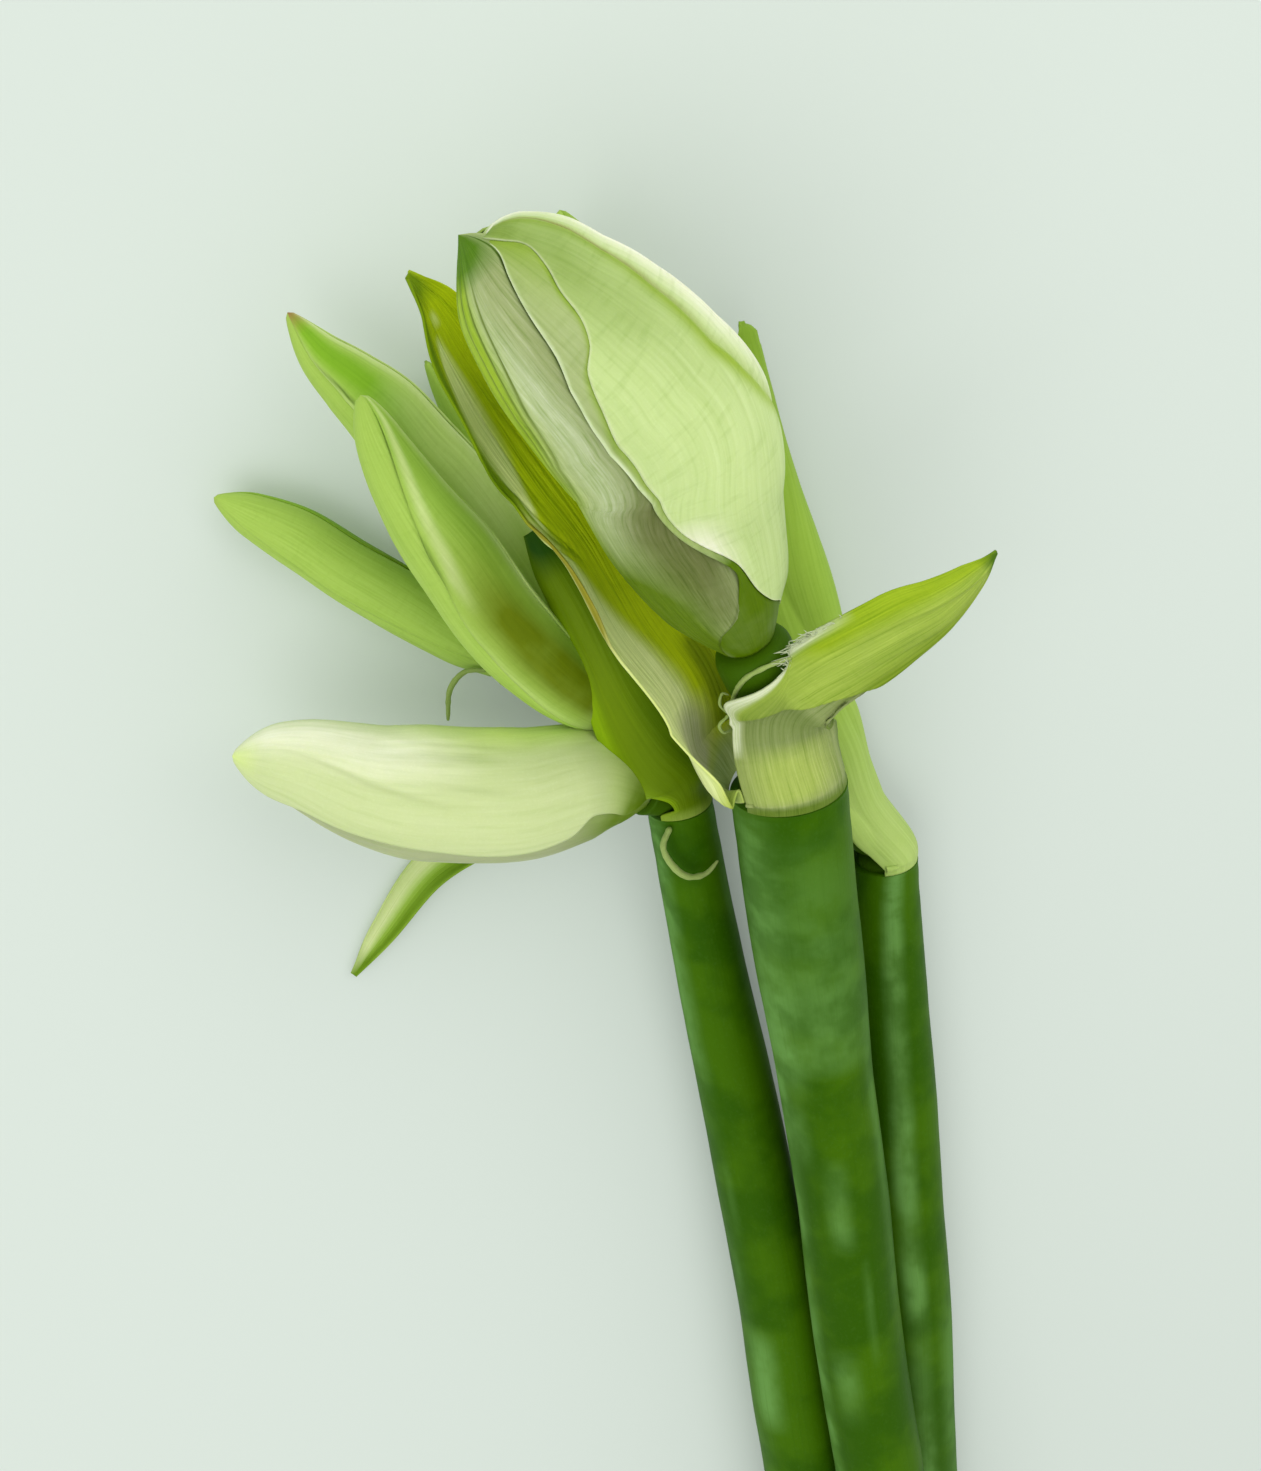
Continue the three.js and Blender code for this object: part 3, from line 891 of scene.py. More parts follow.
@dataclass
class Bud:
    """A closed bud: a dark core with its tepals wrapped over one another."""

    node: str
    slot: Slot
    limb: Limb
    tepals: list[Tepal]
    rows: int = 80
    slices: dict[tuple[str, float], tuple[float, float, float]] = field(default_factory=dict)

    THICKNESS = 0.55
    CORE_INSET = 2.2
    CORE_SPAN = (0.02, 0.94)
    CORE_BLUNTNESS = 6
    PATTERN_DEGREES = 120.0

    # Where a tepal goes in under the next one, and how deep
    HIDDEN_FROM = 0.97
    HIDDEN_OVER = 0.12
    HIDDEN_DEPTH = THICKNESS + 0.45
    DEEPEST_SHARE = 0.25

    # How fast relief and frill fade towards the edges, the tip and the base
    SIDE_FADE = 3
    TIP_FADE = 9
    FRILL_WAVES = 31
    FRILL_WIDTH = 7
    FRILL_START = 5

    def lift(self, tepal: Tepal, seen: float, t: float) -> float:
        """How far a tepal stands off the bud's girth.

        Args:
            tepal: The tepal.
            seen: 0 at its free edge, 1 where the next tepal covers it.
            t: The place along the bud.

        Returns:
            The lift in millimetres.
        """
        first, middle, final = tepal.lift
        rise = middle + (first - middle) * smooth(1 - 2 * seen) + (final - middle) * smooth(2 * seen - 1)
        fade = smooth((t - tepal.rise) / FREE_EDGE_RISE) * smooth((1 - t) / TIP_CLOSING)
        depth = min(self.HIDDEN_DEPTH, self.DEEPEST_SHARE * self.row(tepal, t)[2])
        return rise * fade - smooth((seen - self.HIDDEN_FROM) / self.HIDDEN_OVER) * depth

    def row(self, tepal: Tepal, v: float) -> tuple[float, float, float]:
        """The angles where a tepal starts and where the next one covers it, and the girth, at v.

        Args:
            tepal: The tepal.
            v: 0 at the bud's base, 1 at the tepal's tip.

        Returns:
            The two angles in degrees and the girth in millimetres.
        """
        key = (tepal.name, v)
        if key not in self.slices:
            self.slices[key] = (through(tepal.seam, v), through(tepal.until, v), through(self.limb.girth, v))
        return self.slices[key]

    def place(self, tepal: Tepal, u: float, v: float) -> Vector:
        """The place of a point of a tepal.

        Args:
            tepal: The tepal.
            u: 0 at its free edge, 1 at its hidden edge.
            v: 0 at the bud's base, 1 at the tepal's tip.

        Returns:
            The point in millimetres.
        """
        angle, seen = self.angle(tepal, u, v)
        inside = u * (1 - u) * 4
        radius = self.row(tepal, v)[2] + self.lift(tepal, seen, v)
        ribs = tepal.ribs.at(angle / self.PATTERN_DEGREES, v)
        fade = smooth(inside * self.SIDE_FADE) * smooth((1 - v) * self.TIP_FADE)
        radius += (ribs + total(tepal.relief, angle, v)) * fade
        radius += through(tepal.swell, v) * smooth(self.SIDE_FADE * seen)
        wave = tepal.frill * math.sin(v * self.FRILL_WAVES + tepal.seam[0][1])
        radius += wave * smooth(1 - u * self.FRILL_WIDTH) * smooth(v * self.FRILL_START)
        point = self.limb.point(v, angle, radius)
        s = clamp((v - tepal.closing) / (1 - tepal.closing))
        if s == 0.0:
            return point
        turn, out, beyond = tepal.tip
        tip = self.limb.point(1.0, turn, out) + self.limb.ring(1.0).along * beyond
        return point.lerp(tip, 1 - math.sqrt(1 - s * s))

    def angle(self, tepal: Tepal, u: float, v: float) -> tuple[float, float]:
        """The angle round the bud at a place on a tepal, and how far it is to the next tepal.

        Args:
            tepal: The tepal.
            u: 0 at its free edge, 1 at its hidden edge.
            v: The place along the bud.

        Returns:
            The angle in degrees, and 0 at the free edge to 1 where the next tepal covers it.
        """
        start, until, _ = self.row(tepal, v)
        angle = start + (until + tepal.tuck - start) * u
        return angle, (angle - start) / (until - start)

    def pattern(self, tepal: Tepal, u: float, v: float) -> float:
        """Where a point of a tepal lies across the pattern of its finish."""
        return self.angle(tepal, u, v)[0] / self.PATTERN_DEGREES

    def strength(self, tepal: Tepal, patches: Patches, u: float, v: float) -> float:
        """How strong a mark is at a point of a tepal."""
        return total(patches, self.angle(tepal, u, v)[0], v)

    def core(self, u: float, v: float) -> Vector:
        """The place of a point of the core, which fills the bud under its tepals.

        Args:
            u: The place round the core, from 0 to 1.
            v: 0 at its lower end, 1 at its upper end.

        Returns:
            The point in millimetres.
        """
        t = self.CORE_SPAN[0] + self.CORE_SPAN[1] * v
        radius = through(self.limb.girth, t) - self.CORE_INSET
        radius *= math.sqrt(clamp(1 - (2 * v - 1) ** self.CORE_BLUNTNESS))
        return self.limb.point(t, 360 * u, max(0.0, radius))

    def build(self) -> None:
        """Makes the bud's pieces."""
        for tepal in self.tepals:
            marks = {mark: partial(self.strength, tepal, patches) for mark, patches in tepal.marks.items()}
            sheet = Patchwork(
                partial(self.place, tepal), tepal.columns, self.rows, marks,
                pattern=partial(self.pattern, tepal),
            )
            name = f"{self.node}_{tepal.name}"
            finish = material_of(tepal.finish)
            add_piece(name, mesh_of(name, [sheet]), finish, self.node, self.THICKNESS)
        core = Patchwork(self.core, 40, 50, round_it=True)
        name = f"{self.node}_core"
        add_piece(name, mesh_of(name, [core]), material_of(BUD_CORE), self.node)


@dataclass(frozen=True)
class Section:
    """A cut across a bract: its middle, its directions, half its curl, its half width and its flares."""

    at: Vector
    out: Vector
    side: Vector
    curl: float
    half: float
    flares: tuple[float, float]


@dataclass(frozen=True)
class Station:
    """A place along a bract's middle: where it is, where its outer face looks, its half width and curl."""

    at: Point
    out: Point
    half: float
    curl: float


@dataclass
class Bract:
    """A papery sheet along a midrib, curled across it and draped round its neighbours."""

    node: str
    stations: list[Station]
    finish: SheetFinish
    ripple: float = 0.0
    waves: float = 5.0
    neighbours: list[Limb] = field(default_factory=list)
    ribs: Ribs = Ribs(0.1, 26.0)
    relief: Patches = ()
    marks: Marks = field(default_factory=dict)
    flare: tuple[Amount, Amount] = (0.0, 0.0)
    columns: int = 56
    rows: int = 130

    SHEET = 0.6

    # How a ripple runs round to the other margin, and how fast it and the relief start and end
    RIPPLE_LAG = 1.7
    RIPPLE_START = 4
    RELIEF_START = 12
    RELIEF_END = 14

    def __post_init__(self) -> None:
        """Lays the midrib and the tables along it."""
        last = len(self.stations) - 1
        self.midrib = SmoothCurve([Vector(station.at) for station in self.stations])
        self.outward = SmoothCurve([leaning(*station.out) for station in self.stations])
        self.halves = tuple((k / last, station.half) for k, station in enumerate(self.stations))
        self.curls = tuple((k / last, station.curl) for k, station in enumerate(self.stations))
        self.section = lru_cache(maxsize=None)(self._section)

    def _section(self, v: float) -> Section:
        """Cuts across the bract at v.

        Args:
            v: 0 at the scape, 1 at the tip.

        Returns:
            The section there.
        """
        along = self.midrib.tangent(v)
        out = self.outward.place(v)
        out = (out - along * out.dot(along)).normalized()
        curl = math.radians(through(self.curls, v)) / 2
        flares = (through(self.flare[0], v), through(self.flare[1], v))
        return Section(self.midrib.place(v), out, along.cross(out), curl, through(self.halves, v), flares)

    def place(self, across: float, v: float) -> Vector:
        """The place of a point of the outer face.

        Args:
            across: 0 at the left margin, 1 at the right one.
            v: 0 at the scape, 1 at the tip.

        Returns:
            The point in millimetres.
        """
        cut = self.section(v)
        u = 2 * across - 1
        angle = cut.curl * u * (1 + cut.flares[u > 0] * smooth(abs(u)))
        normal = cut.out * math.cos(angle) + cut.side * math.sin(angle)
        wave = self.ripple * u**4 * math.sin(self.waves * math.pi * v + self.RIPPLE_LAG * u)
        wave *= smooth(self.RIPPLE_START * v)
        radius = cut.half / cut.curl
        middle = cut.at + cut.side * (radius * math.sin(angle))
        middle -= cut.out * (radius * (1 - math.cos(angle)) + BRACT_THICKNESS / 2)
        middle += normal * wave
        for limb in self.neighbours:
            middle = limb.push_out(middle, BRACT_THICKNESS / 2 + DRAPE_GAP)
        relief = self.ribs.at(across, v) * smooth(self.RELIEF_START * v) + total(self.relief, u, v)
        relief *= smooth(self.RELIEF_END * (1 - v))
        return middle + normal * (BRACT_THICKNESS / 2 + relief)

    def strength(self, patches: Patches, across: float, v: float) -> float:
        """How strong a mark is at a place on the sheet."""
        return total(patches, 2 * across - 1, v)

    def build(self) -> None:
        """Makes the bract's piece."""
        marks = {mark: partial(self.strength, patches) for mark, patches in self.marks.items()}
        sheet = Patchwork(self.place, self.columns, self.rows, marks)
        name = f"{self.node}_sheet"
        finish = material_of(self.finish)
        add_piece(name, mesh_of(name, [sheet]), finish, self.node, self.SHEET)


@dataclass
class Stem:
    """A scape with its rounded head, its flower stalks and its cut end."""

    node: str
    scape: Limb
    stalks: list[Limb]
    bloom_and_painted_sheen: Patches

    # The outline of a scape from its head to the middle of its cut end: the place in the
    # pattern, the share of the girth and the share of the length.
    OUTLINE_GIRTH = (
        (0.0, 0.0), (0.015, 1.0), (0.965, 1.0), (0.972, 0.97), (0.978, 0.9), (0.984, 0.8), (1.0, 0.0),
    )
    OUTLINE_LENGTH = (
        (0.0, 0.0), (0.015, 0.0), (0.965, 0.998), (0.972, 1.0), (0.984, 1.0), (0.99, 0.996), (1.0, 0.995),
    )

    CUT_STARTS = 0.972
    CUT_EDGE = 0.006

    # The uneven skin, and how far the head stands in from it and how tall it is for its width
    UNEVEN = 0.12
    UNEVEN_WAVES = (4, 30)
    HEAD_INSET = 2.4
    HEAD_HEIGHT = 0.6

    def scape_place(self, u: float, v: float) -> Vector:
        """The place of a point of the scape's skin.

        Args:
            u: The place round the scape, from 0 to 1.
            v: 0 at the head, 1 in the middle of the cut end.

        Returns:
            The point in millimetres.
        """
        t = through(self.OUTLINE_LENGTH, v)
        radius = through(self.scape.girth, t) * through(self.OUTLINE_GIRTH, v)
        waves = (self.UNEVEN_WAVES[0] * u, self.UNEVEN_WAVES[1] * v, 2.0)
        radius += self.UNEVEN * noise.noise(Vector(waves))
        return self.scape.point(t, 360 * u - 180, max(0.0, radius))

    def head_place(self, u: float, v: float) -> Vector:
        """The place of a point of the rounded head that the stalks stand on.

        Args:
            u: The place round the head, from 0 to 1.
            v: 0 at its lower pole, 1 at its upper pole.

        Returns:
            The point in millimetres.
        """
        top = self.scape.ring(0.0)
        size = through(self.scape.girth, 0.0) - self.HEAD_INSET
        height = math.cos(math.pi * v)
        radius = size * math.sin(math.pi * v)
        return self.scape.point(0.0, 360 * u, radius) + top.along * (self.HEAD_HEIGHT * size * height)

    def bloom_and_painted_sheen_at(self, u: float, v: float) -> float:
        """How strong the bloom and the painted sheen are at a point of the skin."""
        return total(self.bloom_and_painted_sheen, 180 - 360 * u, v)

    def cut_at(self, u: float, v: float) -> float:
        """1 on the cut end, 0 on the skin."""
        return smooth((v - self.CUT_STARTS) / self.CUT_EDGE)

    def young_at(self, u: float, v: float) -> float:
        """1 all over a head or a stalk, whose skin is young."""
        return 1.0

    def build(self) -> None:
        """Makes the stem's pieces."""
        marks = {"bloom_and_painted_sheen": self.bloom_and_painted_sheen_at, "cut": self.cut_at}
        finish = material_of(SCAPE_SKIN)
        skin = Patchwork(self.scape_place, 80, 200, marks, round_it=True)
        add_piece(self.node + "_skin", mesh_of(self.node + "_skin", [skin]), finish, self.node)
        young = {"young": self.young_at}
        head = Patchwork(self.head_place, 40, 20, young, round_it=True)
        add_piece(self.node + "_head", mesh_of(self.node + "_head", [head]), finish, self.node)
        for number, stalk in enumerate(self.stalks, 1):
            name = f"{self.node}_stalk_{number}"
            shape = Patchwork(partial(tube_place, stalk), 28, 40, young, round_it=True)
            add_piece(name, mesh_of(name, [shape]), finish, self.node)


def tube_place(limb: Limb, u: float, v: float) -> Vector:
    """The place of a point of a limb with rounded ends.

    Args:
        limb: The limb.
        u: The place round it, from 0 to 1.
        v: The place along it, from 0 to 1.

    Returns:
        The point in millimetres.
    """
    cap = 0.04
    edge = min(v, 1 - v) / cap
    share = math.sqrt(clamp(1 - (1 - min(edge, 1.0)) ** 2))
    return limb.point(v, 360 * u - 180, through(limb.girth, v) * share)


@dataclass
class Thread:
    """A thin dry thread among the flowers."""

    node: str
    limb: Limb
    finish: SheetFinish
    name: str = "fibre"

    UNEVEN = 0.25
    WAVES = 14

    def place(self, u: float, v: float) -> Vector:
        """The place of a point of the thread, which swells and thins as it runs.

        Args:
            u: The place round it, from 0 to 1.
            v: The place along it, from 0 to 1.

        Returns:
            The point in millimetres.
        """
        point = tube_place(self.limb, u, v)
        middle = self.limb.ring(v).at
        swell = 1 + self.UNEVEN * noise.noise(Vector((0.0, self.WAVES * v, 3.0)))
        return middle + (point - middle) * swell

    def build(self) -> None:
        """Makes the thread's piece."""
        shape = Patchwork(self.place, 14, 120, round_it=True)
        name = f"{self.node}_{self.name}"
        add_piece(name, mesh_of(name, [shape]), material_of(self.finish), self.node)


@dataclass
class Fringe:
    """Torn fibres that stand along a bract's margin."""

    bract: Bract
    start: float
    end: float
    count: int = 46
    seed: int = 7

    GIRTH = ((0, 0.2), (0.6, 0.14), (1, 0.05))

    def build(self) -> None:
        """Makes the fringe's piece."""
        chance = random.Random(self.seed)
        fibres = []
        for _ in range(self.count):
            v = chance.uniform(self.start, self.end)
            root = self.bract.place(chance.uniform(0.0, 0.03), v)
            cut = self.bract.section(v)
            along = self.bract.midrib.tangent(v)
            lean = FACING * chance.uniform(0.2, 0.7) - cut.side * chance.uniform(-0.1, 0.5)
            lean = (lean + along * chance.uniform(-0.9, 0.3)).normalized()
            bend = along * chance.uniform(-1.2, 0.6) + cut.out * chance.uniform(-0.8, 0.8)
            length = chance.uniform(1.2, 4.6)
            tip = root + lean * length + bend
            points = [root - lean * 0.4, root + lean * (0.5 * length), tip]
            limb = Limb([tuple(point) for point in points], self.GIRTH)
            fibres.append(Patchwork(partial(tube_place, limb), 5, 7))
        name = self.bract.node + "_fringe"
        add_piece(name, mesh_of(name, fibres), material_of(FRINGE_FIBRE), self.bract.node)


@lru_cache(maxsize=None)
def material_of(finish: SheetFinish | ScapeFinish | FloorFinish) -> bpy.types.Material:
    """The material of a finish, made once."""
    return finish.material()


# Finishes

OUTER_TEPAL = SheetFinish(
    "outer_tepal", "c6dc96",
    (
        ("green", "9cb83e"), ("olive", "688610"), ("cream", "f6f9de"), ("base", "6e8a10"), ("line", "8f8a4a"),
    ),
    veins=50.0, vein_strength=0.3, cross_strength=0.2, glow=0.12,
)
SIDE_TEPAL = SheetFinish(
    "side_tepal", "abba80",
    (
        ("green", "9cba36"), ("cream", "c8d7aa"), ("shade", "6c7444"), ("base", "5f7a10"),
        # seam paints a dark contact shadow beside the edge of the tepal that lies over this one
        ("dark", "6a7e30"), ("seam", "3c5018"), ("tip", "4f7a08"),
    ),
    veins=75.0, vein_run=11.0, vein_strength=0.8, cross_strength=0.1, streaks=0.5, relief=0.0004, glow=0.08,
)
MIDDLE_TEPAL = SheetFinish(
    "middle_tepal", "a6b67c", (("green", "8aa63c"), ("base", "567400"), ("cream", "dcebc0")),
    veins=60.0, vein_strength=0.4, cross_strength=0.15, streaks=0.15, glow=0.1,
)
LOW_TEPAL = SheetFinish(
    "low_tepal", "cbdaa0",
    # cream paints a highlight on the upper side; green is a real band, painted lighter as if lit
    (("cream", "fbffe2"), ("green", "e2f896"), ("shade", "aab488"), ("base", "6c8a14"), ("crease", "a9b97e")),
    veins=22.0, vein_strength=0.22, cross_strength=0.03, glow=0.14,
)
GREEN_TEPAL = SheetFinish(
    "green_tepal", "a6c65a",
    (
        # On the front bud, dark paints the shadow line along its valley
        ("vivid", "80b02a"), ("pale", "cde096"), ("shade", "66780a"), ("dark", "4c6a1a"),
        ("base", "8f9c62"), ("tip", "a06a50"),
    ),
    veins=26.0, vein_strength=0.35, cross_strength=0.1, glow=0.1,
)
BUD_CORE = SheetFinish("bud_core", "5a7810", ())
CREASED = SheetFinish(
    "creased_bract", "b4c810",
    (
        ("paper", "e4efa4"), ("grey", "bcc292"), ("dark", "76930c"), ("flap", "75880c"), ("brown", "96902c"),
        ("base", "a8bc74"),
    ),
    veins=80.0, vein_strength=0.7, cross_strength=0.1, streaks=0.35, roughness=0.58, relief=0.0005, glow=0.06,
)
FOLDED = SheetFinish(
    "folded_bract", "8f9d62",
    (
        ("band", "a4b65c"), ("blade", "9bb248"), ("olive", "728c18"), ("inner", "94ae22"), ("dark", "5f7430"),
        ("white", "d3dcb8"), ("tip", "466e05"), ("rim", "627a28"),
    ),
    veins=75.0, vein_strength=0.8, cross_strength=0.1, streaks=0.3, roughness=0.58, relief=0.0005, glow=0.06,
)
OLIVE_BRACT = SheetFinish(
    # deep paints the shadow over the bract's tip
    "olive_bract", "6b8606", (("edge", "88aa10"), ("pale", "a9bf62"), ("dark", "537004"), ("deep", "27500a")),
    veins=40.0, vein_strength=0.3, cross_strength=0.05, relief=0.0003, glow=0.08,
)
GREEN_BRACT = SheetFinish(
    "green_bract", "97ba44", (("edge", "7ea030"), ("pale", "ccd99c"), ("dark", "6c8e1c")),
    veins=40.0, vein_strength=0.35, cross_strength=0.05, relief=0.0003, glow=0.1,
)
THREAD_FIBRE = SheetFinish("thread_fibre", "9db168", (), roughness=0.6, glow=0.05)
FRINGE_FIBRE = SheetFinish("fringe_fibre", "cbd4b4", (), roughness=0.7, glow=0.05)
SCAPE_SKIN = ScapeFinish()

# The bloom on the far side of every scape
BACK_BLOOM = (Patch(180, 80, 0.6), Patch(-180, 80, 0.6))


def wrapped(
    turn: float, lift: float, finish: SheetFinish, marks: Marks | None = None,
    ribs: Ribs = Ribs(0.06, 14.0),
) -> list[Tepal]:
    """Three tepals that overlap one another round a bud.

    Args:
        turn: The angle of the first seam at the middle of the bud.
        lift: How far a free edge stands off.
        finish: The finish of all three.
        marks: The marks of all three, with angles round the bud.
        ribs: Their ribs.

    Returns:
        The tepals.
    """
    sway = ((0.0, 34.0), (0.3, 8.0), (0.6, -4.0), (0.85, 4.0), (1.0, 20.0))
    made = []
    for k, name in enumerate(("first", "second", "third")):
        seam = beside(sway, turn + 120 * k)
        until = beside(seam, 120)
        made.append(Tepal(name, seam, until, (lift, lift * 0.35, 0.0), finish, ribs=ribs, marks=marks or {}))
    return made


def beside(line: Table, angle: float) -> Table:
    """A line that stays that angle to the right of another one."""
    return tuple((t, place + angle) for t, place in line)


def rim_stations(scape: Limb, degrees: float, half_angle: float, spread: float = 0.0) -> list[Station]:
    """The first two stations of a bract, just above the rim of a scape's top.

    Args:
        scape: The scape.
        degrees: Where the middle of the bract stands on the rim, with 0 facing out.
        half_angle: How far round the rim it reaches to either side.
        spread: How far it stands off at the second station, in millimetres.

    Returns:
        The stations.
    """
    angle = math.radians(degrees)
    radius = through(scape.girth, 0.0)
    half = radius * math.radians(half_angle)
    made = []
    for climb, off in ((TOUCH_GAP, RIM_SPREAD * spread), (RIM_CLIMB, spread)):
        at = scape.point(0.0, -degrees, radius - RIM_INSET + off) - scape.ring(0.0).along * climb
        made.append(Station(tuple(at), (math.sin(angle), 0.0, math.cos(angle)), half, 2 * half_angle))
    return made


def stalk_to(bud: Limb, axis: list[Point], girth: Table) -> Limb:
    """A stalk from its umbel to just below a bud, in line with the bud's base.

    Args:
        bud: The bud.
        axis: The stalk's points from the umbel on.
        girth: Its half thickness along its length.

    Returns:
        The stalk.
    """
    base = bud.ring(0.0)
    ends = [tuple(base.at - base.along * back) for back in (6.0, 3.0, TOUCH_GAP)]
    return Limb(axis + ends, girth)


class Bunch:
    """The whole bunch: three stems with their buds, bracts and threads."""

    def __init__(self) -> None:
        """Lays out every limb, which the pieces then follow."""
        self.middle_scape = Limb(
            [
                (-4, 139, 50.5), (2, 104, 46), (9, 69, 41), (16, 33, 36.5), (23, -4, 33.5),
                (28.8, -43, 31.6), (35.6, -83, 31.1), (41.1, -113, 31.5), (46.2, -157, 33.8),
                (51.8, -197, 36.4),
            ],
            ((0, 15.4), (0.15, 15.2), (0.3, 13.8), (0.5, 13.9), (1, 14.6)),
        )
        self.left_scape = Limb(
            [
                (-26, 124, 21), (-21, 99, 18), (-18, 85, 16), (-12, 57, 13.2), (-7, 35, 11.6),
                (-4, 21, 11.2), (3.2, -16, 11.5), (10.6, -55, 12.1), (16.8, -96, 12.5),
                (21.8, -126, 12.6), (33.6, -217, 12.6),
            ],
            ((0, 9.2), (0.1, 9.8), (0.3, 11.6), (0.5, 12.7), (0.65, 13.3), (1, 13.3)),
        )
        self.right_scape = Limb(
            [
                (36, 100, 17), (37.5, 86, 15.5), (42, 51, 13.2), (47, 15, 12.1), (51, -23, 12.2),
                (56, -62, 12.4), (60, -104, 12.5), (63, -134, 12.6), (73, -228, 12.6),
            ],
            ((0, 10.2), (0.12, 11.6), (0.5, 13), (1, 13)),
        )
        self.main = Limb(
            [
                (-19, 183, 60), (-36, 216.3, 70), (-43, 234.5, 74), (-53.5, 247.7, 77),
                (-64, 258.2, 79), (-76.3, 270, 80), (-86, 280, 80),
            ],
            (
                (0, 7), (0.05, 10.2), (0.14, 14.8), (0.25, 18.4), (0.33, 20.5), (0.43, 22.8),
                (0.55, 23.6), (0.63, 23), (0.76, 20.3), (0.865, 16), (0.93, 12.1), (0.97, 8.4), (1, 4.4),
            ),
        )
        self.back = Limb(
            [(-21, 180, 25.5), (-26, 192, 22.5), (-42, 236, 18.5), (-57, 282, 18)],
            ((0, 5), (0.1, 9), (0.35, 14), (0.55, 14.4), (0.8, 10), (0.92, 6), (1, 1.6)),
        )
        self.low = Limb(
            [
                (-38, 131, 25.5), (-52, 137, 31.8), (-73, 137, 37.5), (-94, 139, 38),
                (-109, 142, 37), (-128, 149, 35), (-145, 152, 33),
            ],
            (
                (0, 5.5), (0.08, 11), (0.2, 15), (0.4, 16.8), (0.55, 16.8), (0.7, 14.4),
                (0.85, 10.4), (0.95, 6.4), (1, 2.4),
            ),
            depth=0.94,
        )
        self.slim = Limb(
            [
                (-74, 165, 10), (-99, 183, 9), (-112, 192, 9), (-124, 201, 9), (-136, 208, 9),
                (-145, 213, 9.5),
            ],
            ((0, 4.6), (0.15, 7.4), (0.4, 8.6), (0.7, 8), (0.88, 5.6), (1, 1.5)),
        )
        self.upper = Limb(
            [
                (-55, 166, 18.5), (-74, 196, 21.5), (-84, 211, 22.5), (-94, 224, 23.5),
                (-102, 235, 25), (-110, 243, 26), (-117, 250, 27), (-124, 260, 27),
            ],
            ((0, 5), (0.1, 8.2), (0.3, 11.2), (0.5, 11.6), (0.7, 10), (0.85, 6.8), (1, 1.5)),
        )
        self.front = Limb(
            [
                (-48, 154, 28), (-64, 170, 39), (-78, 187, 45), (-88, 203, 47), (-96, 215, 47.5),
                (-104, 230, 47), (-109, 243, 46),
            ],
            ((0, 5), (0.1, 8.2), (0.22, 9.9), (0.4, 10.9), (0.6, 10.6), (0.8, 7.8), (0.92, 5), (1, 2.4)),
        )
        self.small = Limb(
            [(-44, 165, 6), (-67, 203, 5.2), (-90, 245, 5.2)],
            ((0, 2.6), (0.4, 5.3), (0.7, 4.6), (1, 1.1)),
        )
        self.sheathed = Limb(
            [(16, 152, 14.5), (9, 173, 14), (1, 193, 14), (-6, 213, 14), (-9, 234, 14), (-9, 249, 14)],
            ((0, 4.6), (0.12, 8), (0.4, 10), (0.6, 9.6), (0.85, 6), (1, 1.8)),
        )
        self.main_stalk = stalk_to(
            self.main, [(-3, 139, 50), (-8, 157, 53)], ((0, 4.2), (0.4, 5.5), (0.75, 9.5), (0.9, 10), (1, 8))
        )
        self.back_stalk = stalk_to(
            self.back,
            [(33, 104, 18), (25, 111, 21.5), (16, 120, 22.5), (6, 132, 24.5), (-8, 153, 26)],
            ((0, 3.8), (0.6, 4), (0.85, 6.2), (1, 5)),
        )
        self.low_stalk = stalk_to(self.low, [(-24, 128, 21)], ((0, 5), (0.4, 6), (1, 7)))
        self.slim_stalk = stalk_to(
            self.slim,
            [(-25, 128, 20), (-30, 138, 15.5), (-39, 144, 11), (-54, 151, 9.5)],
            ((0, 3.4), (0.5, 3.2), (0.85, 5.2), (1, 4.6)),
        )
        self.upper_stalk = stalk_to(
            self.upper, [(-23, 128, 19), (-37, 148, 16.5)], ((0, 3.4), (0.5, 3.4), (0.85, 5.6), (1, 5))
        )
        self.front_stalk = stalk_to(
            self.front, [(-25, 130, 21), (-34, 147, 18)], ((0, 3.4), (0.5, 3.4), (0.85, 5.2), (1, 4.6))
        )
        self.small_stalk = stalk_to(
            self.small, [(-25, 129, 20), (-29, 139, 14), (-34, 149, 8.5)], ((0, 3), (0.5, 2.6), (1, 2.6))
        )
        self.sheathed_stalk = stalk_to(
            self.sheathed, [(35, 103, 17), (25, 128, 15.5)], ((0, 4), (0.5, 4), (0.85, 5.6), (1, 4.6))
        )

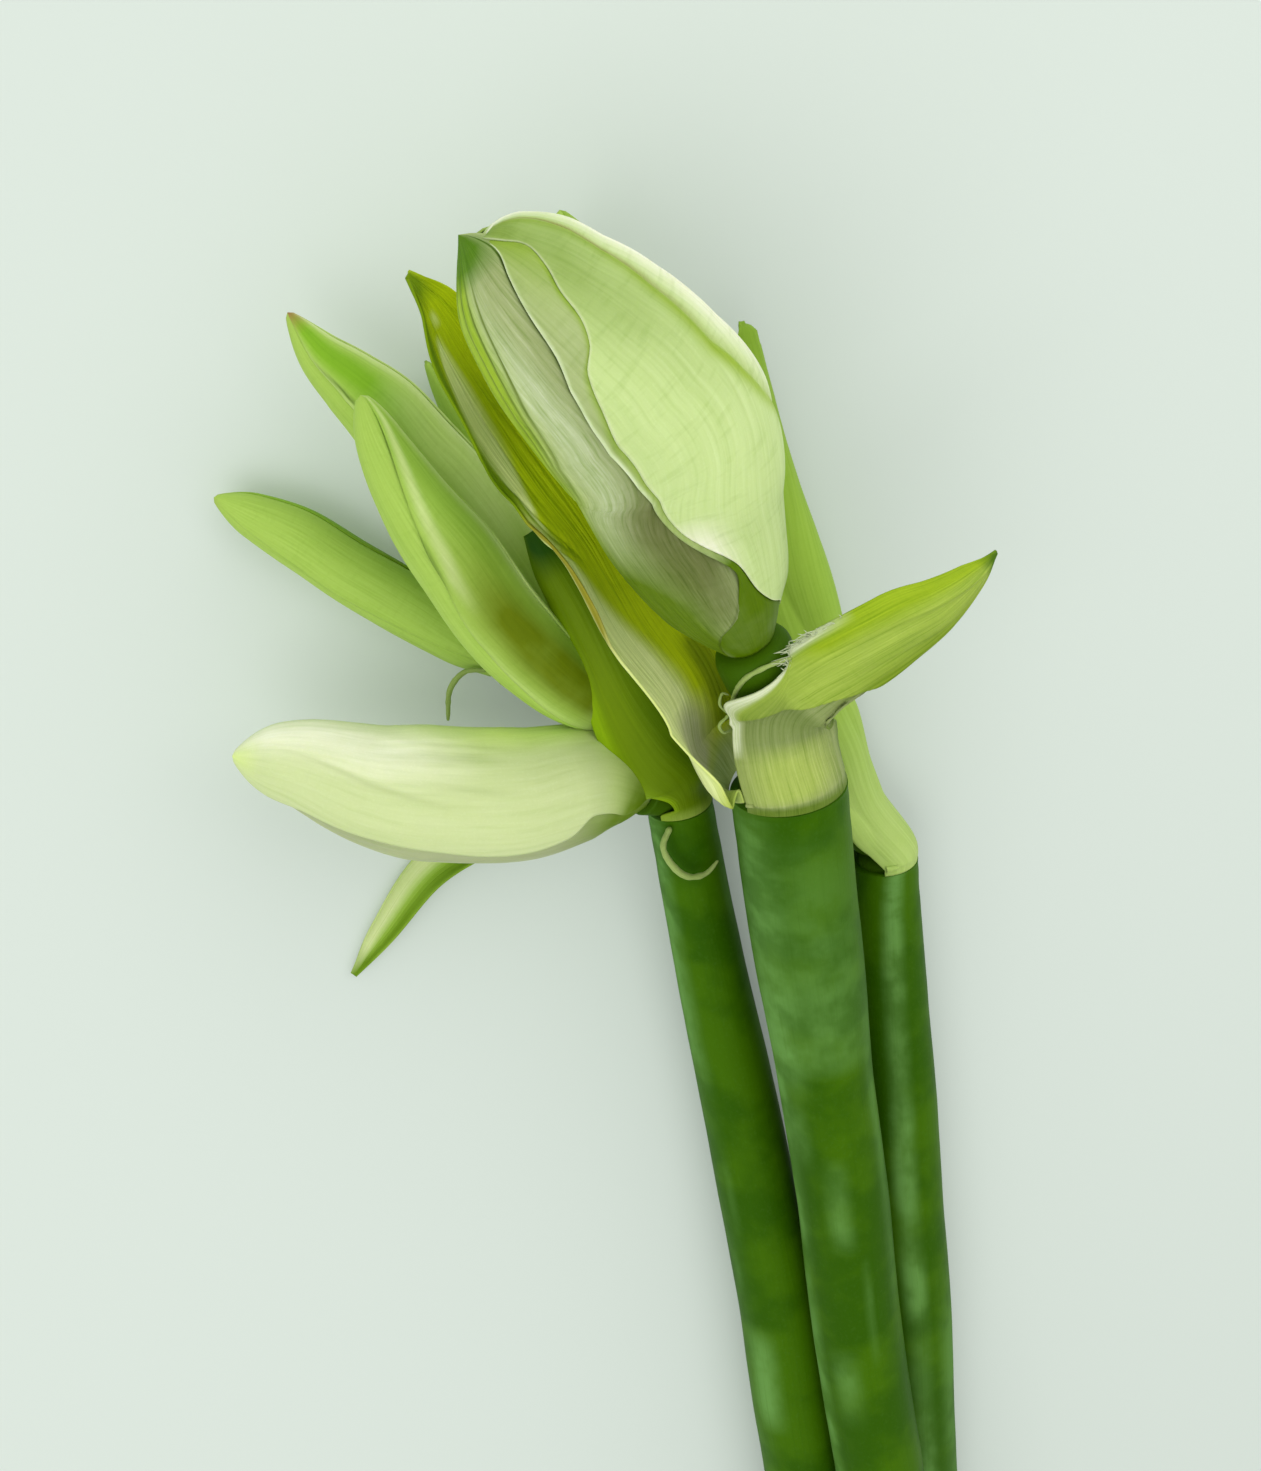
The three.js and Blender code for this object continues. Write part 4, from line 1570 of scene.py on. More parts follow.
    def stems(self) -> list[Stem]:
        """The three stems.

        Returns:
            The scapes of the left, right and middle stem.
        """
        # Each stem's pale patches are bloom across its face and on its far side (BACK_BLOOM), and a painted
        # sky reflection in the long unbroken strips
        return [
            Stem(
                "scape_middle", self.middle_scape, [self.main_stalk],
                (
                    Patch(
                        -80, 30,
                        ((0, 0.2), (0.28, 0.4), (0.34, 1.3), (0.42, 1.2), (0.54, 0.8), (0.6, 1.3), (1, 1.4)),
                    ),
                    Patch(-52, 38, ((0.03, 0.1), (0.14, 0.7), (0.34, 0.8), (0.38, 0.0))),
                    Patch(6, 90, ((0.08, 0.0), (0.16, 0.25), (0.24, 0.45), (0.335, 0.7), (0.36, 0.0))),
                    Patch(-50, 22, ((0.37, 0.0), (0.41, 0.55), (0.44, 0.0))),
                    Patch(-12, 24, ((0.42, 0.0), (0.455, 0.8), (0.475, 0.7), (0.5, 0.0))),
                    Patch(14, 9, ((0.5, 0.0), (0.54, 0.6), (0.56, 0.5), (0.59, 0.0))),
                    Patch(-28, 28, ((0.57, 0.0), (0.595, 0.7), (0.61, 0.5), (0.64, 0.0))),
                    Patch(62, 20, ((0.3, 0.0), (0.38, 0.5), (0.5, 0.5), (0.56, 0.0))),
                    *BACK_BLOOM,
                ),
            ),
            Stem(
                "scape_left", self.left_scape,
                [self.low_stalk, self.slim_stalk, self.upper_stalk, self.front_stalk, self.small_stalk],
                (
                    Patch(-68, 40, ((0, 0.8), (0.1, 1.2), (0.26, 1.0), (0.34, 0.9), (0.38, 0.2), (1, 0.2))),
                    Patch(-44, 12, ((0.42, 0.0), (0.45, 0.5), (0.48, 0.0))),
                    Patch(-62, 14, ((0.49, 0.0), (0.51, 0.6), (0.53, 0.0))),
                    Patch(-40, 34, ((0.545, 0.0), (0.575, 1.0), (0.61, 1.0), (0.635, 0.0))),
                    Patch(70, 26, ((0, 0.8), (0.2, 0.6), (0.34, 0.3), (0.38, 0.0))),
                    *BACK_BLOOM,
                ),
            ),
            Stem(
                "scape_right", self.right_scape, [self.sheathed_stalk, self.back_stalk],
                (
                    Patch(
                        ((0, 14), (0.2, 2), (0.38, -4), (0.75, 8)), 26,
                        (
                            (0, 0.6), (0.04, 1.0), (0.2, 1.1), (0.3, 0.8), (0.35, 1.2), (0.41, 1.3),
                            (0.45, 0.7),
                            (0.49, 1.4), (0.53, 0.5), (0.57, 1.2), (0.6, 0.8), (0.66, 1.3), (1, 1.2),
                        ),
                    ),
                    Patch(60, 40, ((0.48, 0.0), (0.56, 0.6), (1, 0.7))),
                    *BACK_BLOOM,
                ),
            ),
        ]

    def main_bud(self) -> Bud:
        """The large pale bud that opens first.

        Returns:
            The bud, with its wrapped tepals and its marks.
        """
        left_seam = ((0, -100), (0.3, -112), (0.6, -118), (1, -95))
        strip_seam = (
            (0, -60), (0.1, -32), (0.145, -10), (0.2, 1.5), (0.26, 7), (0.33, -3), (0.4, -15), (0.47, -26),
            (0.55, -35), (0.67, -37), (0.74, -32), (0.8, -24.5), (0.87, -19), (0.93, -9.5), (0.97, 5), (1, 9),
        )
        outer_seam = (
            (0, 100), (0.085, 55), (0.135, 30), (0.195, 17.5), (0.28, 10), (0.33, 1), (0.39, -11.5),
            (0.46, -21), (0.55, -31), (0.63, -31), (0.7, -26), (0.75, -17.5), (0.775, -6), (0.81, 2),
            (0.86, 8), (0.9, 18), (0.945, 27), (0.975, 18), (1, 8),
        )
        right_seam = (
            (0, 140), (0.2, 124), (0.3, 102), (0.38, 76), (0.46, 86), (0.56, 98),
            (0.7, 104), (0.9, 100), (1, 112),
        )
        back_seam = ((0, 200), (0.4, 178), (0.8, 186), (1, 190))
        margin = (
            (0.42, 100), (0.46, 84), (0.5, 66), (0.56, 54), (0.65, 48), (0.75, 51), (0.85, 56),
            (0.95, 58), (1, 50),
        )

        left_ribs = [
            ((0.4, 4 * k - 94), (0.6, 6 * k - 94), (0.75, 8 * k - 92), (0.95, 13 * k - 90)) for k in range(4)
        ]
        around = beside(left_seam, 360)
        return Bud(
            "bud_main", Slot.PALE_BUD, self.main,
            [
                Tepal(
                    "left", left_seam, strip_seam, (1.5, 0.7, 0.4), SIDE_TEPAL,
                    tip=(-80, 1.9, 2.6), tuck=30, ribs=Ribs(0.22, 22.0, 2.0, 4.0), columns=96,
                    relief=tuple(
                        Patch(beside(ribs, 4), 4, ((0.44, 0.0), (0.6, 0.3), (0.85, 0.5), (0.97, 0.2)))
                        for ribs in left_ribs
                    ),
                    marks={
                        "green": (
                            Patch(
                                ((0, -100), (0.6, -98), (0.8, -86), (1, -80)), 36,
                                ((0, 1.2), (0.5, 1.1), (0.8, 1.2), (1, 1.6)),
                            ),
                        ),
                        "cream": (Patch(-52, 22, ((0.3, 0.0), (0.5, 0.5), (0.75, 0.7), (0.95, 0.1))),),
                        "shade": (
                            Patch(-18, 50, ((0.1, 0.3), (0.2, 0.9), (0.42, 1.1), (0.6, 0.6), (0.85, 0.35))),
                        ),
                        # Greener towards the base, with painted shade darkening its lower left side
                        "base": (Patch(-72, 74, ((0, 1.8), (0.2, 1.7), (0.28, 1.0), (0.4, 0.0))),),
                        "dark": tuple(
                            Patch(
                                ribs, 2.5, ((0.42, 0.0), (0.6, 0.6), (0.93, 1.0), (1, 0.5)),
                            ) for ribs in left_ribs
                        ),
                        # A painted contact shadow along the strip tepal's overlapping edge
                        "seam": (Patch(strip_seam, 3, ((0.3, 0.4), (0.5, 1.0), (0.97, 1.2))),),
                        "tip": (Patch(-60, 110, ((0.945, 0.0), (0.98, 1.6))),),
                    },
                ),
                Tepal(
                    "strip", strip_seam, outer_seam, (1.6, 1.2, 0.6), MIDDLE_TEPAL,
                    tip=(0, 1.2, -1.0), tuck=30, rise=0.15, ribs=Ribs(0.12, 14.0, 2.0, 7.0),
                    marks={
                        "base": (Patch(20, 120, ((0, 2.0), (0.25, 2.0), (0.31, 0.6), (0.36, 0.0))),),
                        "green": (
                            Patch(30, 60, ((0.8, 0.0), (0.9, 0.8), (0.97, 1.2))),
                            # A painted soft shadow along the line where the outer tepal's edge lies over this
                            # one
                            Patch(outer_seam, 5, ((0.3, 0.0), (0.5, 0.7), (0.95, 0.9))),
                        ),
                        "cream": (Patch(strip_seam, 2.5, ((0.44, 0.0), (0.55, 0.9))),),
                    },
                ),
                Tepal(
                    "outer", outer_seam, right_seam, (0.7, 1.9, 2.2), OUTER_TEPAL,
                    tip=(7, 3.0, -1.2), tuck=34, ribs=Ribs(0.08, 12.0, 2.0, 1.0), columns=112,
                    frill=0.15, closing=0.972,
                    swell=((0.84, 0.0), (0.92, 1.4), (0.97, 2.3), (0.99, 2.2), (1, 1.6)),
                    relief=(
                        Patch(beside(margin, -12), 11, ((0.4, 0.0), (0.6, 0.5), (0.95, 1.0))),
                        Patch(margin, 4, ((0.4, 0.0), (0.5, -0.8), (0.95, -0.6))),
                        Patch(beside(margin, 16), 16, ((0.4, 0.0), (0.48, 0.9), (0.9, 0.5))),
                    ),
                    marks={
                        "green": (
                            Patch(
                                beside(margin, -6), 11,
                                ((0.42, 0.0), (0.48, 0.9), (0.7, 1.0), (0.95, 0.8)),
                            ),
                            Patch(104, 40, ((0.08, 1.2), (0.36, 1.0), (0.44, 0.0))),
                        ),
                        "olive": (
                            # Painted shade between the inner tepal's edge and the ridge, deepening towards
                            # the tip
                            Patch(
                                ((0.6, 34), (0.8, 24), (0.95, 30)), 50,
                                ((0.5, 0.0), (0.64, 0.2), (0.78, 0.5), (0.9, 0.7), (1, 0.8)),
                            ),
                            Patch(96, 60, ((0.06, 0.8), (0.3, 0.5), (0.4, 0.0))),
                        ),
                        "cream": (
                            # The pale half past the margin line: a real pale margin, with a painted highlight
                            # where the light falls on it
                            Patch(
                                beside(margin, 34), 38,
                                ((0.38, 0.0), (0.46, 1.7), (0.8, 1.8), (0.97, 1.0)),
                            ),
                            Patch(-6, 26, ((0.22, 0.0), (0.29, 0.8), (0.34, 0.9), (0.42, 0.0))),
                            Patch(outer_seam, 2.5, 0.3),
                        ),
                        "line": (Patch(margin, 2.5, ((0.6, 0.0), (0.76, 0.6), (0.9, 1.0), (0.97, 0.6))),),
                        "base": (Patch(90, 60, ((0, 1.0), (0.1, 0.8), (0.16, 0.0))),),
                    },
                ),
                Tepal(
                    "right", right_seam, back_seam, (0.2, 0.5, 0.2), MIDDLE_TEPAL,
                    tip=(110, 1.5, 0.0), ribs=Ribs(0.1, 12.0, 2.0, 2.0),
                    marks={"green": (Patch(100, 60, 0.7),)},
                ),
                Tepal(
                    "back", back_seam, around, (1.4, 0.7, 0.2), SIDE_TEPAL,
                    tip=(-150, 1.5, 0.0), ribs=Ribs(0.2, 20.0, 2.0, 3.0),
                    marks={"green": (Patch(255, 40, 0.6),)},
                ),
            ],
            rows=150,
        )

    def low_bud(self) -> Bud:
        """The whitish bud that lies out to the left.

        Returns:
            The bud, with its wrapped tepals and its marks.
        """
        front = (
            (0, 0), (0.04, -14), (0.13, -34), (0.22, -32), (0.28, -49), (0.4, -55),
            (0.6, -48), (0.8, -56), (0.9, -70), (1, -75),
        )
        top = ((0, 120), (0.5, 112), (1, 118))
        under = ((0, 205), (0.5, 198), (1, 200))
        around = beside(front, 360)
        return Bud(
            "bud_low", Slot.PALE_BUD, self.low,
            [
                Tepal(
                    "front", front, top, (1.5, 0.9, 1.2), LOW_TEPAL, tip=(0, 1.0, 0.0),
                    ribs=Ribs(0.18, 5.0, 1.5, 6.0), columns=80,
                    relief=(
                        Patch(((0.5, -8), (0.9, 18)), 9, ((0.5, 0.0), (0.62, -0.7), (0.8, -0.4), (0.9, 0.0))),
                        Patch(((0.3, 30), (0.9, 20)), 14, ((0.3, 0.0), (0.6, 0.5), (0.9, 0.0))),
                    ),
                    marks={
                        # A painted highlight on the lit upper side
                        "cream": (Patch(50, 60, ((0.45, 0.0), (0.65, 0.9), (0.9, 0.9), (1, 0.3))),),
                        "green": (
                            # The real green band along the top, painted lighter as if lit from above
                            Patch(76, 46, ((0, 1.6), (0.3, 1.4), (0.5, 0.7), (0.75, 0.0))),
                            Patch(0, 80, ((0.93, 0.0), (1, 0.8))),
                            Patch(0, 160, ((0, 1.4), (0.08, 0.9), (0.2, 0.0))),
                        ),
                        "crease": (
                            Patch(
                                ((0.5, -8), (0.9, 18)), 5,
                                ((0.5, 0.0), (0.62, 0.4), (0.8, 0.3), (0.9, 0.0)),
                            ),
                            Patch(((0.35, 2), (0.6, 12)), 5, ((0.35, 0.0), (0.45, 0.25), (0.6, 0.0))),
                        ),
                        "base": (
                            Patch(100, 60, ((0, 1.0), (0.1, 0.9), (0.25, 0.0))),
                            Patch(-30, 120, ((0, 1.8), (0.1, 1.2), (0.17, 0.3), (0.24, 0.0))),
                        ),
                    },
                ),
                Tepal(
                    "top", top, under, (0.0, 0.4, 0.9), LOW_TEPAL, ribs=Ribs(0.15, 6.0, 1.5, 2.0),
                    marks={"green": (Patch(150, 70, 0.6),)},
                ),
                Tepal(
                    "under", under, around, (0.0, 0.5, 0.3), LOW_TEPAL, ribs=Ribs(0.15, 8.0, 1.5, 3.0),
                    columns=60,
                    marks={
                        "shade": (Patch(295, 60, ((0, 0.3), (0.2, 1.0), (0.6, 1.0), (0.95, 0.8))),),
                        "base": (Patch(310, 90, ((0, 1.0), (0.12, 1.0), (0.3, 0.0))),),
                    },
                ),
            ],
            rows=110,
        )

    def front_bud(self) -> Bud:
        """The green bud with a blunt tip, whose tepals show most of their seams.

        Returns:
            The bud, with its wrapped tepals and its marks.
        """
        valley = (
            (0, -66), (0.3, -48), (0.5, -38), (0.6, -30), (0.65, -28), (0.74, -14), (0.83, 1), (0.91, 18),
            (1, 34),
        )
        front_marks = {
            "shade": (Patch(12, 64, ((0, 1.0), (0.25, 1.3), (0.45, 1.0), (0.62, 0.35), (0.75, 0.0))),),
            "vivid": (Patch(40, 60, ((0.2, 0.4), (0.9, 0.4))),),
            "pale": (
                Patch(((0.6, -66), (1, -40)), 40, ((0.1, 0.3), (0.4, 0.9), (0.75, 0.7), (1, 0.5))),
                Patch(((0.6, -14), (0.75, 4), (1, 50)), 14, ((0.5, 0.0), (0.62, 0.9), (1, 0.8))),
                Patch(78, 24, ((0.2, 0.0), (0.45, 0.7), (0.9, 0.5))),
            ),
            "dark": (
                # A painted shadow line along the valley, where the right tepal's edge lies over the next
                Patch(
                    ((0.6, -30), (0.74, -18), (0.91, 14)), 6,
                    ((0.56, 0.0), (0.66, 0.7), (0.9, 0.6), (0.97, 0.0)),
                ),
            ),
            "base": (Patch(0, 400, ((0, 0.8), (0.1, 0.3), (0.16, 0.0))),),
        }
        ribs = Ribs(0.06, 14.0)
        right_valley = beside(valley, 115)
        back_valley = beside(valley, 235)
        around = beside(valley, 360)
        knob = (Patch(-20, 9, ((0.57, 0.0), (0.62, 1.0), (0.68, 0.0))),)
        tepals = [
            Tepal(
                "right", valley, right_valley, (0.8, 0.3, 0), GREEN_TEPAL, rise=0.4, relief=knob,
                marks=front_marks,
            ),
            Tepal(
                "back", right_valley, back_valley, (0.3, 0.2, 0), GREEN_TEPAL, ribs=ribs,
                marks=front_marks,
            ),
            Tepal("left", back_valley, around, (0.4, 0.2, 0), GREEN_TEPAL, ribs=ribs, marks=front_marks),
        ]
        return Bud("bud_front", Slot.GREEN_BUD, self.front, tepals)

    def buds(self) -> list[Bud]:
        """All the buds.

        Returns:
            The buds of the three stems, seen and hidden.
        """
        tip = (Patch(0, 400, ((0.955, 0.0), (1, 1.0))),)
        upper_marks = {
            "vivid": (Patch(14, 50, ((0.1, 0.1), (0.6, 0.2), (0.74, 0.9), (0.9, 1.2), (1, 1.0))),),
            "pale": (
                Patch(78, 34, ((0.1, 0.5), (0.9, 1.0))),
                # Painted light on the lower middle, where the front bud shades it
                Patch(30, 60, ((0.3, 0.0), (0.45, 0.6), (0.7, 0.4), (0.8, 0.0))),
                Patch(((0.6, -60), (0.95, -30)), 24, ((0.4, 0.2), (0.75, 1.1), (0.95, 0.3))),
            ),
            "dark": (
                Patch(((0.7, -40), (0.8, -34)), 8, ((0.68, 0.0), (0.72, 1.0), (0.78, 0.0))),
                Patch(-24, 5, ((0.77, 0.0), (0.81, 0.9), (0.88, 0.5), (0.92, 0.0))),
            ),
            "tip": tip,
        }
        slim_marks = {
            "vivid": (Patch(76, 50, ((0, 0.9), (0.7, 0.8), (1, 0.2))),),
            "shade": (Patch(60, 70, ((0, 1.2), (0.25, 0.9), (0.6, 0.3), (0.8, 0.0))),),
            "pale": (Patch(6, 40, ((0.2, 0.2), (0.7, 0.7), (0.86, 1.3), (0.96, 1.0))),),
            "tip": (Patch(0, 400, ((0.96, 0.0), (1, 0.9))),),
        }
        hidden_marks = {"vivid": (Patch(0, 90, 0.6),), "shade": (Patch(0, 400, 0.3),)}
        return [
            self.main_bud(),
            self.low_bud(),
            Bud("bud_back", Slot.GREEN_BUD, self.back, wrapped(0, 1.1, GREEN_TEPAL, hidden_marks)),
            Bud("bud_slim", Slot.GREEN_BUD, self.slim, wrapped(68, 0.3, GREEN_TEPAL, slim_marks)),
            Bud("bud_upper", Slot.GREEN_BUD, self.upper, wrapped(-34, 0.5, GREEN_TEPAL, upper_marks)),
            self.front_bud(),
            Bud(
                "bud_small", Slot.GREEN_BUD, self.small, wrapped(20, 0.4, GREEN_TEPAL, hidden_marks),
                rows=60,
            ),
            Bud("bud_sheathed", Slot.GREEN_BUD, self.sheathed, wrapped(60, 0.6, GREEN_TEPAL, hidden_marks)),
        ]

    def bract_middle_left(self) -> Bract:
        """The creased papery bract that stands up behind the large bud.

        Returns:
            The bract, rising from the middle scape's rim.
        """
        return Bract(
            "bract_middle_left",
            rim_stations(self.middle_scape, -105, 60, 3.0)
            + [
                Station((-28, 148.5, 46.8), (-0.93, -0.05, -0.35), 19, 135),
                Station((-32, 165, 48), (-0.55, -0.3, -0.78), 14, 80),
                Station((-45, 185, 49.5), (-0.45, -0.3, -0.84), 14, 75),
                Station((-57, 206, 51), (-0.4, -0.25, -0.88), 12.5, 75),
                Station((-69, 223, 53), (-0.38, -0.25, -0.9), 15.5, 75),
                Station((-79, 239, 56), (-0.4, -0.28, -0.87), 15.5, 80),
                Station((-88, 253, 59.5), (-0.45, -0.3, -0.84), 11.5, 80),
                Station((-94, 264, 62.5), (-0.5, -0.35, -0.8), 7, 80),
                Station((-99, 271, 65), (-0.5, -0.35, -0.8), 1.2, 60),
            ],
            CREASED, 0.8, 7, [self.main, self.main_stalk],
            ribs=Ribs(0.16, 24.0, 2.0),
            relief=(
                Patch(
                    ((0.5, 0.5), (0.56, 0.86), (0.62, 0.9)), 0.1,
                    ((0.48, 0.0), (0.54, 0.9), (0.6, 0.8), (0.66, 0.0)),
                ),
                Patch(
                    ((0.5, 0.3), (0.56, 0.55), (0.62, 0.7)), 0.1,
                    ((0.47, 0.0), (0.54, 0.8), (0.6, 0.5), (0.66, 0.0)),
                ),
                Patch(1.0, 0.16, ((0.42, 0.0), (0.46, -1.4), (0.54, -1.4), (0.58, 0.0))),
                Patch(0.25, 0.1, ((0.55, 0.0), (0.65, 0.5), (0.85, 0.4), (0.92, 0.0))),
            ),
            marks={
                "paper": (
                    Patch(
                        ((0.2, 0.6), (0.3, 0.5), (0.36, 0.55), (0.45, 0.75), (0.52, 0.85)),
                        ((0.2, 0.7), (0.3, 0.85), (0.36, 0.75), (0.45, 0.5), (0.52, 0.3)),
                        ((0.12, 0.0), (0.2, 1.4), (0.3, 2.0), (0.5, 2.0), (0.56, 0.6), (0.6, 0.0)),
                    ),
                    Patch(
                        ((0.56, 0.7), (0.6, 0.62), (0.65, 0.5), (0.72, 0.46), (0.78, 0.42), (0.84, 0.36)),
                        ((0.56, 0.16), (0.65, 0.36), (0.75, 0.38), (0.84, 0.24)),
                        ((0.55, 0.0), (0.59, 1.8), (0.8, 2.0), (0.86, 0.0)),
                    ),
                    Patch(0.1, 0.22, ((0.86, 0.0), (0.88, 0.5), (0.9, 0.0))),
                ),
                "grey": (Patch(0.1, 0.8, ((0.12, 0.0), (0.18, 1.2), (0.25, 1.2), (0.3, 0.0))),),
                "dark": (
                    Patch(1.0, 0.5, ((0.56, 0.0), (0.62, 1.2), (0.8, 1.3), (1, 1.6))),
                    Patch(0.0, 1.4, ((0.9, 0.0), (0.97, 1.4))),
                    Patch(
                        ((0.5, 0.4), (0.56, 0.74), (0.62, 0.8)), 0.06,
                        ((0.48, 0.0), (0.54, 0.9), (0.66, 0.0)),
                    ),
                ),
                "flap": (Patch(-0.75, 0.4, ((0.2, 0.0), (0.25, 1.4), (0.33, 1.4), (0.36, 0.0))),),
                "brown": (Patch(0.96, 0.14, ((0.4, 0.0), (0.45, 1.2), (0.56, 1.2), (0.6, 0.0))),),
                "base": (Patch(0.0, 2.0, ((0, 1.4), (0.1, 1.2), (0.16, 0.0))),),
            },
            flare=(0.0, (
                (0.25, 0.0), (0.3, 0.25), (0.36, 0.33), (0.43, 0.3), (0.48, 0.1), (0.53, -0.1), (0.57, -0.25),
                (0.6, -0.3), (0.64, -0.1), (0.68, 0.15), (0.72, 0.28), (0.76, 0.3), (0.8, 0.15), (0.84, 0.03),
                (0.9, 0.0),
            )),
            columns=100, rows=200,
        )

    def bract_middle_right(self) -> Bract:
        """The bract that folds out to the right like a boat.

        Returns:
            The bract, rising from the middle scape's rim.
        """
        fold = ((-1, 0.3), (-0.5, 0.335), (-0.13, 0.39), (0.07, 0.5), (0.3, 0.6), (1, 0.7))
        return Bract(
            "bract_middle_right",
            rim_stations(self.middle_scape, 16, 65)
            + [
                Station((-6, 153, 65.5), (0.2, 0, 0.98), 16.5, 108),
                Station((-7.5, 162, 67), (0.1, -0.2, 0.95), 16, 84),
                Station((-3, 169, 71.5), (0.12, -0.6, 0.8), 16, 110),
                Station((5, 175, 75), (0.35, -0.7, 0.65), 17, 150),
                Station((16, 182, 77), (0.45, -0.75, 0.48), 17, 175),
                Station((27, 189, 77), (0.5, -0.8, 0.4), 14.5, 180),
                Station((35, 197, 75), (0.55, -0.8, 0.3), 9, 165),
                Station((40, 204, 72), (0.6, -0.75, 0.3), 1.2, 90),
            ],
            FOLDED, 0.5, 5, [self.main_stalk],
            flare=(
                0.0,
                (
                    (0.16, 0.0), (0.24, -0.12), (0.32, -0.4), (0.42, -0.65), (0.5, -0.72), (0.58, -0.6),
                    (0.66, -0.25), (0.74, 0.0),
                ),
            ),
            ribs=Ribs(0.14, 24.0, 1.6),
            relief=(
                Step(fold, 0.012, 1.9, 0.3),
                Patch(
                    ((0.5, -0.7), (0.75, -0.55), (0.95, -0.4)), 0.12,
                    ((0.46, 0.0), (0.6, 1.0), (0.9, 0.8)),
                ),
                Patch(((0.5, 0.25), (0.75, 0.15), (0.95, 0.1)), 0.1, ((0.5, 0.0), (0.62, 0.6), (0.9, 0.3))),
            ),
            marks={
                "blade": (Step(fold, 0.02, 1.6),),
                "olive": (Patch(0.3, 0.5, ((0.45, 0.0), (0.6, 0.9), (0.95, 1.0))),),
                "inner": (Patch(-0.9, 0.45, ((0.45, 0.0), (0.55, 1.4), (1, 1.4))),),
                "dark": (Patch(0.0, 1.4, ((0.22, 0.0), (0.3, 0.5), (0.36, 0.6), (0.4, 0.0))),),
                "band": (Patch(-0.2, 1.2, ((0.08, 0.0), (0.16, 1.2), (0.24, 0.8), (0.28, 0.0))),),
                "rim": (
                    Patch(0.0, 2.0, ((0, 1.6), (0.06, 0.8), (0.1, 0.0))),
                    Patch(1.0, 0.2, ((0, 0.8), (0.3, 0.8))),
                ),
                "white": (Patch(-0.96, 0.16, ((0.24, 0.0), (0.3, 1.4), (0.5, 1.0), (0.62, 0.0))),),
                "tip": (Patch(0.0, 2.0, ((0.92, 0.0), (0.98, 1.5))),),
            },
            columns=90, rows=200,
        )

    def bract_left_front(self) -> Bract:
        """The olive bract in front of the left stem's buds.

        Returns:
            The bract, rising from the left scape's rim.
        """
        return Bract(
            "bract_left_front",
            rim_stations(self.left_scape, 28, 64)
            + [
                Station((-26.5, 137, 36.3), (0.2, 0, 0.95), 12.5, 95),
                Station((-36, 149, 43), (0.05, 0, 1), 11, 80),
                Station((-47, 167, 47.5), (-0.1, 0.05, 1), 9, 80),
                Station((-56, 185, 46.5), (-0.1, 0.05, 1), 7.5, 80),
                Station((-63, 198, 43.5), (0, 0.05, 1), 6, 80),
                Station((-69, 208, 42), (0, 0.05, 1), 2.2, 60),
            ],
            OLIVE_BRACT, 0.3, 5, [self.front_stalk],
            ribs=Ribs(0.08, 12.0),
            flare=(
                ((0.05, 0.0), (0.12, -0.4), (0.2, -0.35), (0.3, 0.1), (0.4, 0.5), (0.5, 0.45), (0.65, 0.0)),
                0.0,
            ),
            marks={
                "edge": (Patch(-0.95, 0.4, ((0.1, 0.4), (0.3, 1.2), (0.7, 1.2), (0.8, 0.0))),),
                "dark": (
                    Patch(0.4, 0.6, ((0.2, 0.4), (0.6, 0.8), (1, 1.0))),
                    Patch(0.2, 1.4, ((0.06, 0.0), (0.14, 0.5), (0.4, 0.5), (0.6, 0.0))),
                ),
                # A painted deep shadow over the tip
                "deep": (Patch(0.0, 2.0, ((0.84, 0.0), (0.96, 1.4))),),
                "pale": (Patch(0.0, 2.0, ((0, 0.5), (0.08, 0.2), (0.14, 0.0))),),
            },
        )

    def bract_left_back(self) -> Bract:
        """The narrow bract that hangs out to the left.

        Returns:
            The bract, rising from the left scape's rim.
        """
        return Bract(
            "bract_left_back",
            rim_stations(self.left_scape, -148, 46)
            + [
                Station((-37, 127, 8.5), (-0.2, -0.2, -1), 7.2, 85),
                Station((-44, 123, 5.6), (0, -0.2, -1), 7.5, 90),
                Station((-57, 118, 4.5), (0, -0.2, -1), 7.5, 100),
                Station((-77, 112, 3.6), (0, -0.2, -1), 7, 110),
                Station((-94, 102, 3), (0.1, -0.2, -1), 6.2, 110),
                Station((-108, 84, 2.4), (0.1, -0.1, -1), 4.2, 110),
                Station((-117, 71, 2), (0.1, -0.1, -1), 0.8, 60),
            ],
            GREEN_BRACT, 0.3, 5, [self.low_stalk, self.slim_stalk],
            ribs=Ribs(0.08, 10.0),
            marks={
                "pale": (Patch(-0.6, 0.9, ((0.3, 1.0), (0.9, 1.2))),),
                "dark": (Patch(0.7, 0.8, ((0.3, 0.8), (1, 1.0))), Patch(0, 3, ((0.92, 0.0), (1, 1.0)))),
            },
        )

    def bract_right_front(self) -> Bract:
        """The tall bract in front of the right stem's hidden bud.

        Returns:
            The bract, rising from the right scape's rim.
        """
        return Bract(
            "bract_right_front",
            rim_stations(self.right_scape, 58, 62)
            + [
                Station((31, 121, 23), (0.75, 0.1, 0.65), 12.5, 124),
                Station((24.5, 139, 23), (0.75, 0.15, 0.64), 14, 138),
                Station((18.5, 152, 23), (0.75, 0.2, 0.63), 15, 145),
                Station((11.5, 172, 23), (0.75, 0.2, 0.63), 15.5, 145),
                Station((4.5, 191, 22.5), (0.75, 0.2, 0.63), 15, 145),
                Station((0.5, 208, 22), (0.75, 0.2, 0.63), 14, 145),
                Station((-3, 224, 20.5), (0.75, 0.15, 0.6), 10.5, 140),
                Station((-7, 241, 17.5), (0.75, 0.1, 0.6), 5.5, 120),
                Station((-9, 254, 15), (0.75, 0.1, 0.6), 1, 60),
            ],
            GREEN_BRACT, 0.4, 5, [self.sheathed, self.sheathed_stalk, self.back_stalk],
            ribs=Ribs(0.1, 14.0),
            marks={
                "pale": (Patch(0, 3, ((0, 0.35), (0.12, 0.4), (0.3, 0.2), (0.45, 0.0))),),
                "edge": (Patch(0, 3, ((0.6, 0.0), (1, 0.9))),),
            },
        )

